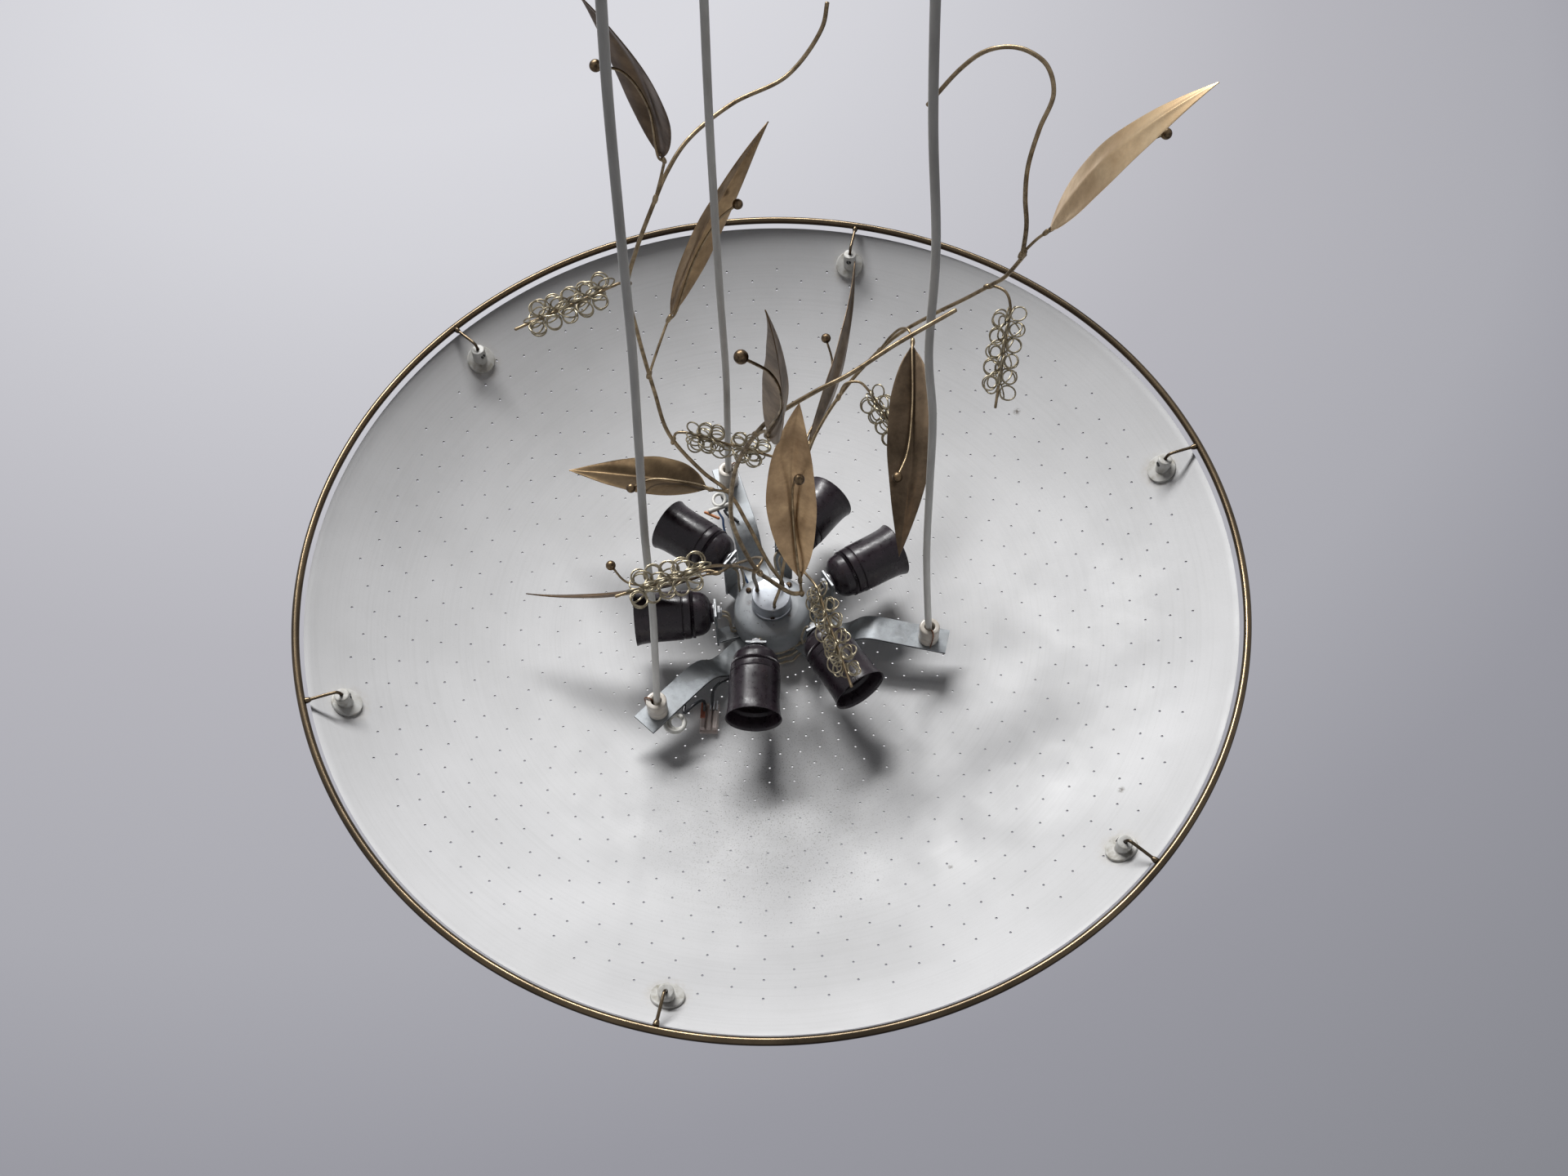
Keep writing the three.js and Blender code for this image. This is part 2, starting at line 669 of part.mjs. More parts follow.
add(belowCeiling, "centre_rod", cylinder(ROD_RADIUS, rodBottom, rodTop, 12), STEEL);
add(belowCeiling, "rod_nut", rodNut(), STEEL);
add(belowCeiling, "socket_plate", socketPlate(), GALVANISED);
add(belowCeiling, "hub_cup", hubCup(), HUB_PAINT);
add(belowCeiling, "hub_cap", hubCap(), HUB_PAINT);
add(belowCeiling, "finial", finial(), HUB_PAINT);

// Lampholders: a domed back with the insert that takes the lamp's cap, and a flared outer shell.
// Each is turned about its own axis, with its back at the origin.

function holderBack() {
  const insertEnd = DOME_LENGTH + INSERT_LENGTH;
  const seat = INSERT_RADIUS - INSERT_WALL;
  return turned(
    [
      [0, GAP],
      [DOME_COLLAR_RADIUS, GAP],
      [DOME_COLLAR_RADIUS, DOME_COLLAR_LENGTH],
      [DOME_RADIUS * 0.72, DOME_COLLAR_LENGTH + 1.5],
      [DOME_RADIUS * 0.93, DOME_LENGTH * 0.42],
      [DOME_RADIUS, DOME_LENGTH * 0.7],
      [DOME_RADIUS, DOME_LENGTH],
      [INSERT_RADIUS, DOME_LENGTH],
      [INSERT_RADIUS, insertEnd],
      [seat, insertEnd],
      [seat, DOME_LENGTH + INSERT_FLOOR],
      [0, DOME_LENGTH + INSERT_FLOOR],
    ],
    HOLDER_SIDES,
  );
}

function holderShell() {
  const start = DOME_LENGTH + GAP;
  const end = start + SHELL_LENGTH;
  const inner = SHELL_RADIUS - SHELL_WALL;
  return turned(
    [
      [inner, start],
      [DOME_RADIUS, start],
      [SHELL_RADIUS, start + 2],
      [SHELL_RADIUS, end - SHELL_FLARE],
      [SHELL_MOUTH_RADIUS, end],
      [SHELL_MOUTH_RADIUS - SHELL_WALL + 0.6, end],
      [inner, end - SHELL_FLARE],
    ],
    HOLDER_SIDES,
  );
}

holders.forEach(({ back, points }, i) => {
  const seat = new THREE.Group();
  seat.position.copy(back);
  seat.rotation.set(0, PI / 2, rad(points), "ZYX");
  belowCeiling.add(seat);
  add(seat, "holder_back_" + (i + 1), holderBack(), BAKELITE);
  add(seat, "holder_shell_" + (i + 1), holderShell(), BAKELITE);
});

// Bowl, posts and ring

const postAzimuths = Array.from(
  { length: POST_COUNT },
  (_, i) => FIRST_POST_AZIMUTH + (i * 360) / POST_COUNT,
);

function bowl() {
  const stations = BOWL_STATIONS.map((share) => share * BOWL_RADIUS);
  const radii = [ROD_RADIUS + GAP, ...stations, BOWL_RADIUS];
  const inside = radii.map((r) => [r, bowlHeight(r)]);
  const outside = radii.map((r) => [r, bowlHeight(r) - BOWL_THICK * sqrt(1 + bowlSlope(r) ** 2)]);
  return turned([...outside, ...inside.reverse()], BOWL_SIDES).rotateZ(rad(FIRST_POST_AZIMUTH));
}

// A turned post on a thin round foot that lies flush in the slope of the bowl
const postTop = bowlHeight(POST_CIRCLE) + POST_HEIGHT;

function post() {
  const slope = Math.atan(bowlSlope(POST_CIRCLE));
  const surface = bowlHeight(POST_CIRCLE);
  const foot = cylinder(POST_FOOT_RADIUS, BOWL_SEAT, BOWL_SEAT + POST_FOOT_THICK, 16)
    .rotateY(-slope)
    .translate(0, 0, surface);
  const shank = cylinder(POST_RADIUS, surface - POST_RADIUS, postTop, 10);
  const under = box(60, 60, 30, [0, 0, BOWL_SEAT - 15]).rotateY(-slope).translate(0, 0, surface);
  const hole = cylinder(HOOK_WIRE_RADIUS + GAP, postTop - POST_HOLE_DEPTH, postTop + 1, 8);
  return cut(join(shank, foot), under, hole);
}

// The ring with its six hooks of thinner wire brazed to it
function ringWithHooks() {
  const hoop = new THREE.TorusGeometry(RING_RADIUS, RING_WIRE_RADIUS, 6, BOWL_SIDES)
    .rotateZ(rad(FIRST_POST_AZIMUTH));
  const bottom = postTop - POST_HOLE_DEPTH + GAP;
  const hooks = postAzimuths.map((azimuth) =>
    rod(
      [
        around(POST_CIRCLE, azimuth, bottom),
        around(POST_CIRCLE, azimuth, postTop + 0.5),
        around(POST_CIRCLE + HOOK_BEND * 0.3, azimuth, -HOOK_BEND * 0.3),
        around(POST_CIRCLE + HOOK_BEND, azimuth, 0),
        around(RING_RADIUS - 1, azimuth, 0),
      ],
      HOOK_WIRE_RADIUS,
      5,
      5,
    ),
  );
  return join(hoop, ...hooks);
}

add(belowCeiling, "bowl", bowl(), BOWL_PAINT);
postAzimuths.forEach((azimuth, i) => {
  const carrier = new THREE.Group();
  carrier.rotation.z = rad(azimuth);
  belowCeiling.add(carrier);
  const mesh = add(carrier, "post_" + (i + 1), post(), BOWL_PAINT);
  mesh.position.x = POST_CIRCLE;
});
add(belowCeiling, "ring", ringWithHooks(), DARK_BRASS);

// Leaves: sheet brass, folded along the middle and pointed at the tip

function leafFrame({ base, tip, faces }) {
  const root = vec(base);
  const along = vec(tip).sub(root);
  const length = along.length();
  along.normalize();
  const up = vec(faces);
  up.addScaledVector(along, -up.dot(along)).normalize();
  const across = new THREE.Vector3().crossVectors(up, along);
  return { root, along, up, across, length };
}

// A point of a leaf's bowed fold, at a share of its length and a height over its hollow side
function foldPoint(leaf, share, height) {
  const { root, along, up, across, length } = leafFrame(leaf);
  const [away, aside] = leaf.bow ?? [1, 0];
  const bow = LEAF_BOW * 4 * share * (1 - share);
  return root.clone()
    .addScaledVector(along, length * share)
    .addScaledVector(up, height - away * bow)
    .addScaledVector(across, aside * bow);
}

function leafHalfWidth(leaf, t) {
  const full = ((LEAF_WIDTH * (leaf.wide ?? 1)) / 2) * cos(rad(leaf.fold ?? LEAF_FOLD));
  const curve = pow(max(0, sin(PI * pow(t, LEAF_SHAPE))), LEAF_FULLNESS);
  return max(LEAF_ROOT_HALF_WIDTH * (1 - 0.7 * t), full * curve);
}

function leafGeometry(leaf) {
  const { up, across } = leafFrame(leaf);
  const rise = tan(rad(leaf.fold ?? LEAF_FOLD));
  const position = [];
  for (let i = 0; i <= LEAF_STATIONS; i += 1) {
    const t = i / LEAF_STATIONS;
    const half = leafHalfWidth(leaf, t);
    const section = [
      [-half, half * rise],
      [0, 0],
      [half, half * rise],
      [half, half * rise + LEAF_THICK],
      [0, LEAF_THICK],
      [-half, half * rise + LEAF_THICK],
    ];
    for (const [side, height] of section) {
      const at = foldPoint(leaf, t, height).addScaledVector(across, side);
      position.push(at.x, at.y, at.z);
    }
  }
  return skinned(position, 6, LEAF_STATIONS);
}

// Joins rings of points into a closed skin, with a fan over the first ring and the last.
function skinned(position, ring, steps) {
  const index = [];
  for (let i = 0; i < steps; i += 1) {
    for (let j = 0; j < ring; j += 1) {
      const k = (j + 1) % ring;
      const [a, b, c, d] = [i * ring + j, i * ring + k, (i + 1) * ring + k, (i + 1) * ring + j];
      index.push(a, b, c, a, c, d);
    }
  }
  const last = steps * ring;
  for (const [a, b, c] of fanOf(ring)) {
    index.push(c, b, a, last + a, last + b, last + c);
  }
  const geometry = new THREE.BufferGeometry();
  geometry.setAttribute("position", new THREE.Float32BufferAttribute(position, 3));
  geometry.setIndex(index);
  return geometry;
}

// The leaf's bent section is fanned from the fold so that no triangle leaves it.
const fanOf = (ring) =>
  Array.from({ length: ring - 2 }, (_, i) => [1, (i + 2) % ring, (i + 3) % ring]);

// Catkins: wire wound into a coil, and the coil wound again round the twig

const coilRadius = TWIG_RADIUS + GAP + CURL_WIRE_RADIUS + CURL_RADIUS;

function catkinFrame({ stem, start, end }) {
  const from = vec(start);
  const along = vec(end).sub(from);
  const length = along.length();
  along.normalize();
  const side = from.clone().sub(vec(stem[0]));
  side.addScaledVector(along, -side.dot(along)).normalize();
  return { from, along, side, up: new THREE.Vector3().crossVectors(along, side), length };
}

// The wire's centre line: small curls stand in planes through the twig, wound slowly round it.
function coiledCoil(catkin, stepsPerCurl) {
  const { from, along, side, up, length } = catkinFrame(catkin);
  const wound = length - CATKIN_BARE_END - 2 * CURL_RADIUS;
  const steps = CATKIN_CURLS * stepsPerCurl;
  return Array.from({ length: steps + 1 }, (_, i) => {
    const turn = (2 * PI * CATKIN_TURNS * i) / steps;
    const curl = (2 * PI * CATKIN_CURLS * i) / steps;
    const out = side.clone().multiplyScalar(cos(turn)).addScaledVector(up, sin(turn));
    return from.clone()
      .addScaledVector(along, CURL_RADIUS + (wound * i) / steps - CURL_RADIUS * sin(curl))
      .addScaledVector(out, coilRadius - CURL_RADIUS * cos(curl));
  });
}

const catkinGeometry = (catkin) =>
  wireSkin(coiledCoil(catkin, CURL_STEPS), CURL_WIRE_RADIUS, CURL_SIDES);

// The least gap of a catkin's wire to itself, half a curl or more away along the wire.
function leastGap(catkin) {
  const stepsPerCurl = 24;
  const points = coiledCoil(catkin, stepsPerCurl);
  const gaps = points.flatMap((point, i) =>
    points.slice(i + stepsPerCurl / 2).map((other) => point.distanceTo(other)),
  );
  return gaps.reduce((least, gap) => Math.min(least, gap), Infinity) - 2 * CURL_WIRE_RADIUS;
}

// A wire of few sides along close points, its sides carried on from step to step without a twist.
function wireSkin(points, radius, sides) {
  const position = [];
  let normal = null;
  points.forEach((point, i) => {
    const ahead = points[Math.min(i + 1, points.length - 1)].clone();
    ahead.sub(points[max(i - 1, 0)]).normalize();
    if (!normal) normal = new THREE.Vector3(0.3, 0.5, 0.8).cross(ahead);
    normal.addScaledVector(ahead, -normal.dot(ahead)).normalize();
    const other = new THREE.Vector3().crossVectors(ahead, normal);
    for (let j = 0; j < sides; j += 1) {
      const turn = (2 * PI * j) / sides;
      const at = point.clone()
        .addScaledVector(normal, radius * cos(turn))
        .addScaledVector(other, radius * sin(turn));
      position.push(at.x, at.y, at.z);
    }
  });
  return skinned(position, sides, points.length - 1);
}

// A stamen leaves its leaf's stem, follows the fold and hooks up to its ball.
function stamenRoute(leaf, start) {
  const ball = vec(leaf.ball);
  const at = (share, height) => foldPoint(leaf, share, height);
  const crook = at(leaf.along, STAMEN_LIFT * 1.6).lerp(ball, 0.25);
  return {
    riser: [start, at(0.01, STAMEN_LIFT)],
    hook: [at(0, STAMEN_LIFT), at(leaf.along * 0.6, STAMEN_LIFT), crook, ball],
  };
}

// The wire frame of a sprig: stem, bough, leaf stems, stamens and twigs, brazed into one
function sprigFrame(sprig) {
  const inHole = (z) => around(STEM_HOLE_CIRCLE, sprig.hole, z);
  const stem = [inHole(STEM_UPRIGHT / 3), inHole(STEM_UPRIGHT), ...sprig.stem.map(vec)];
  const boughs = [[stem, sprig.stemRadius, 5, stem.length]];
  if (sprig.bough) {
    boughs.push([sprig.bough.map(vec), sprig.boughRadius, 5, sprig.bough.length]);
  }
  const foot = [inHole(-STEM_HOLE_DEPTH + GAP), inHole(STEM_UPRIGHT * 0.7)];
  const rods = [[foot, sprig.stemRadius, 6, 1], ...boughs];
  const attached = ([first, ...rest]) => {
    const target = vec(first);
    const nearest = boughs.map(([points, , , steps]) => nearestOn(points, steps, target));
    nearest.sort((a, b) => a.distanceTo(target) - b.distanceTo(target));
    return [nearest[0], ...rest.map(vec)];
  };
  const balls = [];
  for (const leaf of Object.values(sprig.leaves)) {
    const { root, along } = leafFrame(leaf);
    const behind = (distance) => root.clone().addScaledVector(along, -distance);
    const leafStem = [...attached(leaf.stem), behind(5), behind(2 * GAP)];
    const steps = leafStem.length + 1;
    rods.push([leafStem, TWIG_RADIUS, 5, steps]);
    const { riser, hook } = stamenRoute(leaf, nearestOn(leafStem, steps, behind(6)));
    rods.push([riser, STAMEN_RADIUS, 4, 1], [hook, STAMEN_RADIUS, 4, 7]);
    const ball = vec(leaf.ball);
    balls.push(new THREE.SphereGeometry(BALL_RADIUS, 8, 5).translate(ball.x, ball.y, ball.z));
  }
  for (const catkin of Object.values(sprig.catkins)) {
    const { from, along } = catkinFrame(catkin);
    const twig = [...attached(catkin.stem), from];
    rods.push([twig, TWIG_RADIUS, 5, twig.length + 1]);
    rods.push([[from.clone().addScaledVector(along, -1.5), vec(catkin.end)], TWIG_RADIUS, 5, 1]);
  }
  return join(...rods.map((each) => rod(...each)), ...balls);
}

for (const [letter, sprig] of Object.entries(SPRIGS)) {
  add(capMiddle, "sprig_" + letter, sprigFrame(sprig), DARK_BRASS);
  for (const [number, leaf] of Object.entries(sprig.leaves)) {
    add(capMiddle, "leaf_" + number, leafGeometry(leaf), LEAF_BRASS);
  }
  for (const [number, catkin] of Object.entries(sprig.catkins)) {
    add(capMiddle, "catkin_" + number, catkinGeometry(catkin), DARK_BRASS);
    console.log("catkin_" + number + " least gap to itself " + leastGap(catkin).toFixed(2) + " mm");
  }
}

export default lamp;
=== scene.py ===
import bmesh
import bpy
import numpy as np
from mathutils import Matrix


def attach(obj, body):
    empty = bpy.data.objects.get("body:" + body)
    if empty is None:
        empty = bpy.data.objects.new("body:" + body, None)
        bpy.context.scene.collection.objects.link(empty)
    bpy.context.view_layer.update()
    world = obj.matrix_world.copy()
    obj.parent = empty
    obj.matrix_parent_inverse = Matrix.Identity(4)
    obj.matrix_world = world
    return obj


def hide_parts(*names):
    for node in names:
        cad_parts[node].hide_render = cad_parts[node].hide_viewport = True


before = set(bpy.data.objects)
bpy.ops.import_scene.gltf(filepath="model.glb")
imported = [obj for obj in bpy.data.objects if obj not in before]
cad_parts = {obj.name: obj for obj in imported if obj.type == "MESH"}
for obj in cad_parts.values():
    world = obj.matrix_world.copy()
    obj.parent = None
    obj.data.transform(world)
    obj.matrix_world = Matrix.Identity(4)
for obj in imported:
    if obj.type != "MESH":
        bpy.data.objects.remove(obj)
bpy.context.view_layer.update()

# Camera
# It stands in front of the lamp and above it, looks to the back and well down,
# and leans a little to one side.

CAMERA_PLACE = (0.01053, -0.65707, 0.38734)
CAMERA_TILT, CAMERA_LEAN = 30.872, -1.375  # up from straight down, and round the view, in degrees

camera = bpy.data.objects.new("camera", bpy.data.cameras.new("camera"))
bpy.context.scene.collection.objects.link(camera)
camera.matrix_world = (
    Matrix.Translation(CAMERA_PLACE)
    @ Matrix.Rotation(np.radians(CAMERA_TILT), 4, "X")
    @ Matrix.Rotation(np.radians(CAMERA_LEAN), 4, "Z")
)
camera.data.sensor_fit = "HORIZONTAL"
camera.data.sensor_width = 36
camera.data.lens = 36.11
camera.data.clip_start = 0.01
bpy.context.scene.camera = camera

# Hanging cords
# Three round cords with a grey-white sheath, pulled taut from the grips under the canopy
# down into the bores of the porcelain bushings. Each has kept a few bends from its coil.

RING_PLANE = -0.680  # height of the ring's middle line
ARM_AZIMUTHS = {"left": 225.5, "right": 345.5, "back": 105.5}
BUSHING_CIRCLE, GRIP_CIRCLE = 0.132, 0.090
CORD_DIAMETER = 0.0055
CORD_LOW, CORD_HIGH = RING_PLANE - 0.0539, -0.0429
CORD_SPAN = 676
CORD_TURNS = {  # millimetres up the span, and millimetres to the right
    "left": [[0, 0], [60, 1], [140, 2], [230, 0.5], [320, 1], [410, 1.5], [500, 0], [590, -1], [676, 0]],
    "right": [[0, 0], [50, -1.5], [120, -2.5], [200, -1], [280, 0.5], [340, -2.5], [430, 1], [530, -1.5],
              [676, 0]],
    "back": [[0, 0], [70, 1], [150, 2], [240, 0.5], [330, -0.5], [420, -1], [510, -0.5], [600, 0.5],
             [676, 0]],
}


def around(radius, azimuth, z=0.0):
    """A point at a distance from the lamp's axis, an angle round it in degrees, and a height."""
    return np.array([radius * np.cos(np.radians(azimuth)), radius * np.sin(np.radians(azimuth)), z])


def smooth_path(points, count):
    """Evenly spaced points on a centripetal Catmull-Rom curve: knots lie the square root of
    each chord apart, and each span is the cubic that its neighbours' slopes give."""
    p = np.asarray(points, float)
    p = np.vstack([2 * p[0] - p[1], p, 2 * p[-1] - p[-2]])
    gap = np.maximum(np.sqrt(np.linalg.norm(np.diff(p, axis=0), axis=1)), 1e-6)[:, None]
    d0, d1, d2 = gap[:-2], gap[1:-1], gap[2:]
    a, b, c, d = p[:-3], p[1:-2], p[2:-1], p[3:]
    start = ((b - a) / d0 - (c - a) / (d0 + d1) + (c - b) / d1) * d1
    end = ((c - b) / d1 - (d - b) / (d1 + d2) + (d - c) / d2) * d1
    t = np.linspace(0, 1, 40, endpoint=False)[None, :, None]
    b, c, start, end = (v[:, None, :] for v in (b, c, start, end))
    line = (
        b * (2 * t**3 - 3 * t**2 + 1) + start * (t**3 - 2 * t**2 + t)
        + c * (3 * t**2 - 2 * t**3) + end * (t**3 - t**2)
    ).reshape(-1, 3)
    line = np.vstack([line, p[-2]])
    run = np.concatenate([[0], np.cumsum(np.linalg.norm(np.diff(line, axis=0), axis=1))])
    at = np.linspace(0, run[-1], count)
    return np.stack([np.interp(at, run, line[:, k]) for k in range(3)], 1)


def round_section(path, radius, sides, reference=None, round_ends=True):
    """Rings of points about a path: each ring is a circle square to the path, in the frame of
    a reference direction that the path never follows. Its ends are drawn in to a point."""
    path = np.asarray(path, float)
    radius = np.broadcast_to(np.asarray(radius, float), len(path)).copy()
    ahead = np.gradient(path, axis=0)
    ahead /= np.linalg.norm(ahead, axis=1)[:, None]
    if reference is None:
        reference = np.linalg.eigh(ahead.T @ ahead)[1][:, 0]
    side = np.cross(ahead, reference)
    side /= np.linalg.norm(side, axis=1)[:, None]
    other = np.cross(ahead, side)
    if round_ends:
        first, last = radius[0], radius[-1]
        inset = 0.35
        path = np.vstack([path[0], path[0], path[0] + ahead[0] * first * inset, path[1:-1],
                          path[-1] - ahead[-1] * last * inset, path[-1], path[-1]])
        radius = np.concatenate([[0, first * 0.7, first], radius[1:-1], [last, last * 0.7, 0]])
        side = np.vstack([side[:1], side[:1], side, side[-1:], side[-1:]])
        other = np.vstack([other[:1], other[:1], other, other[-1:], other[-1:]])
    else:
        path, radius = np.vstack([path[:1], path, path[-1:]]), np.concatenate([[0], radius, [0]])
        side, other = (np.vstack([v[:1], v, v[-1:]]) for v in (side, other))
    turn = np.linspace(0, 2 * np.pi, sides, endpoint=False)[None, :, None]
    return (
        path[:, None, :]
        + radius[:, None, None] * (np.cos(turn) * side[:, None, :] + np.sin(turn) * other[:, None, :])
    )


def surface(name, *grids, wrap=True, crease=40):
    """One mesh of several grids of points, rows by columns: quads join neighbours, and each
    last column joins the first where wrap is set. Points that coincide become one."""
    points, quads, first = [], [], 0
    for grid in grids:
        rows, columns, _ = grid.shape
        index = first + np.arange(rows * columns).reshape(rows, columns)
        near, far = (index, np.roll(index, -1, 1)) if wrap else (index[:, :-1], index[:, 1:])
        quads.append(np.stack([near[:-1], far[:-1], far[1:], near[1:]], -1).reshape(-1, 4))
        points.append(grid.reshape(-1, 3))
        first += rows * columns
    mesh = bpy.data.meshes.new(name)
    mesh.from_pydata(np.concatenate(points).tolist(), [], np.concatenate(quads).tolist())
    return finished(name, mesh, crease)


def finished(name, mesh, crease):
    """An object for a mesh whose doubles are merged and whose faces point outwards, smooth
    except at edges sharper than the crease, in degrees."""
    shape = bmesh.new()
    shape.from_mesh(mesh)
    bmesh.ops.remove_doubles(shape, verts=shape.verts, dist=3e-6)
    bmesh.ops.dissolve_degenerate(shape, edges=shape.edges, dist=1e-7)
    bmesh.ops.recalc_face_normals(shape, faces=shape.faces)
    shape.to_mesh(mesh)
    shape.free()
    mesh.shade_smooth()
    mesh.set_sharp_from_angle(angle=np.radians(crease))
    piece = bpy.data.objects.new(name, mesh)
    bpy.context.scene.collection.objects.link(piece)
    return piece


def fitted(piece, body, slot, material, *nodes):
    """Gives a piece its body, its finish and the solids that it stands for."""
    piece.data.materials.clear()
    piece.data.materials.append(material)
    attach(piece, body)
    if nodes:
        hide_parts(*nodes)
    return piece


def finish(name, colour, roughness, metallic=0.0, specular=0.5, coat=0.0):
    """A material with its plain values on the shader's own sockets."""
    material = bpy.data.materials.new(name)
    material.use_nodes = True
    shader = material.node_tree.nodes["Principled BSDF"]
    shader.inputs["Base Color"].default_value = (*colour, 1)
    shader.inputs["Roughness"].default_value = roughness
    shader.inputs["Metallic"].default_value = metallic
    shader.inputs["Specular IOR Level"].default_value = specular
    shader.inputs["Coat Weight"].default_value = coat
    shader.inputs["Coat Roughness"].default_value = 0.15
    return material


def object_place(material):
    """Places on the object itself, in metres."""
    return material.node_tree.nodes.new("ShaderNodeTexCoord").outputs["Object"]


def noise_on(material, places, scale, detail, roughness, distortion=0.0):
    """Noise over some places, so many cells to each unit of them."""
    noise = material.node_tree.nodes.new("ShaderNodeTexNoise")
    values = {"Scale": scale, "Detail": detail, "Roughness": roughness, "Distortion": distortion}
    for name, value in values.items():
        noise.inputs[name].default_value = value
    material.node_tree.links.new(places, noise.inputs["Vector"])
    return noise.outputs["Fac"]


def cloudy(material, scale, detail=5.0, roughness=0.55, stretch=(1, 1, 1), distortion=0.0):
    """Noise on the object's own coordinates, so many cells to the metre."""
    drawn = material.node_tree.nodes.new("ShaderNodeMapping")
    drawn.inputs["Scale"].default_value = stretch
    material.node_tree.links.new(object_place(material), drawn.inputs["Vector"])
    return noise_on(material, drawn.outputs["Vector"], scale, detail, roughness, distortion)


def steps(material, factor, *stops):
    """A colour for each value of the factor: stops are (value, colour or grey)."""
    ramp = material.node_tree.nodes.new("ShaderNodeValToRGB")
    elements = ramp.color_ramp.elements
    while len(elements) < len(stops):
        elements.new(0.5)
    for element, (value, colour) in zip(elements, stops):
        element.position = value
        element.color = (*colour, 1) if np.ndim(colour) else (colour, colour, colour, 1)
    material.node_tree.links.new(factor, ramp.inputs["Fac"])
    return ramp.outputs["Color"]


def supply(material, socket, value):
    """Links a socket to another one's value, or sets a plain number, colour or vector on it."""
    if isinstance(value, bpy.types.NodeSocket):
        material.node_tree.links.new(value, socket)
    else:
        socket.default_value = (*value, 1) if socket.type == "RGBA" else value


def maths(material, operation, *values, vector=False):
    """A number or a vector reckoned from others."""
    node = material.node_tree.nodes.new("ShaderNodeVectorMath" if vector else "ShaderNodeMath")
    node.operation = operation
    for socket, value in zip(node.inputs, values):
        supply(material, socket, value)
    gives_vector = vector and operation not in ("DISTANCE", "LENGTH")
    return node.outputs["Vector" if gives_vector else "Value"]


def mixed(material, share, under, over):
    """One colour laid over another by a share from 0 to 1; either may be a plain colour."""
    mix = material.node_tree.nodes.new("ShaderNodeMix")
    mix.data_type = "RGBA"
    for name, value in (("Factor", share), ("A", under), ("B", over)):
        supply(material, mix.inputs[name], value)
    return mix.outputs["Result"]


def dress(material, colour=None, roughness=None, height=None, depth=0.0002, strength=1.0):
    """Links a colour, a roughness and a height to the material's shader."""
    tree = material.node_tree
    shader = tree.nodes["Principled BSDF"]
    if colour is not None:
        tree.links.new(colour, shader.inputs["Base Color"])
    if roughness is not None:
        tree.links.new(roughness, shader.inputs["Roughness"])
    if height is not None:
        bump = tree.nodes.new("ShaderNodeBump")
        bump.inputs["Distance"].default_value = depth
        bump.inputs["Strength"].default_value = strength
        tree.links.new(height, bump.inputs["Height"])
        tree.links.new(bump.outputs["Normal"], shader.inputs["Normal"])
    return material


def clouded(material, scale, dark, light, span=(0.35, 0.65)):
    """A colour that drifts in clouds between a dark tone and a light one."""
    return dress(material, colour=steps(material, cloudy(material, scale), (span[0], dark), (span[1], light)))


def uneven(material, scale, least, most):
    """A roughness that drifts in clouds between two values."""
    return dress(material, roughness=steps(material, cloudy(material, scale), (0.3, least), (0.7, most)))


def over_skin(material, share, colour):
    """Lays one more colour over a material's own."""
    own = material.node_tree.nodes["Principled BSDF"].inputs["Base Color"].links[0].from_socket
    return dress(material, colour=mixed(material, share, own, colour))


cord_sheath = finish("cord sheath", (0.3, 0.29, 0.27), 0.42)
dress(
    cord_sheath,
    colour=steps(cord_sheath, cloudy(cord_sheath, 60, stretch=(1, 1, 0.25)),
                 (0.3, (0.55, 0.535, 0.5)), (0.7, (0.78, 0.77, 0.73))),
    height=cloudy(cord_sheath, 700, detail=2), depth=0.00006,
)

for side, azimuth in ARM_AZIMUTHS.items():
    lowest = around(BUSHING_CIRCLE, azimuth, CORD_LOW)
    highest = around(GRIP_CIRCLE, azimuth, CORD_HIGH)
    wander = np.array(CORD_TURNS[side]) / [CORD_SPAN, 1000]
    route = lowest + (highest - lowest) * wander[:, :1] + np.outer(wander[:, 1], [1, 0, 0])
    path = smooth_path(route, 120)
    skin = round_section(path, CORD_DIAMETER / 2, 20, reference=(0, 1, 0), round_ends=False)
    cord = surface("hanging_cord_" + side, skin)
    fitted(cord, "frame", "cord_pvc", cord_sheath, "cord_" + side)

# Ceiling fitting
# A steel plate screwed to the ceiling, whose stud holds a shallow spun canopy by a domed nut.
# Three turned grips under the canopy hold the cords.


def fillet(outline, radii, count=5):
    """Rounds the corners of an outline: each corner gives way to a parabola that starts and
    ends its radius away, or at most 0.45 of the way to the next corner."""
    p = np.asarray(outline, float)
    cut = np.broadcast_to(np.asarray(radii, float), len(p)).copy()
    back, on = np.roll(p, 1, 0) - p, np.roll(p, -1, 0) - p
    long_back, long_on = np.linalg.norm(back, axis=1), np.linalg.norm(on, axis=1)
    cut = np.minimum(cut, 0.45 * np.minimum(long_back, long_on))
    cut[[0, -1]] = 0
    t = np.linspace(0, 1, count)[None, :, None]
    back = back / np.maximum(long_back, 1e-9)[:, None]
    on = on / np.maximum(long_on, 1e-9)[:, None]
    curve = p[:, None] + (cut[:, None] * back)[:, None] * (1 - t) ** 2 + (cut[:, None] * on)[:, None] * t**2
    curve = curve.reshape(-1, 2)
    keep = np.concatenate([[True], np.linalg.norm(np.diff(curve, axis=0), axis=1) > 1e-7])
    return curve[keep]


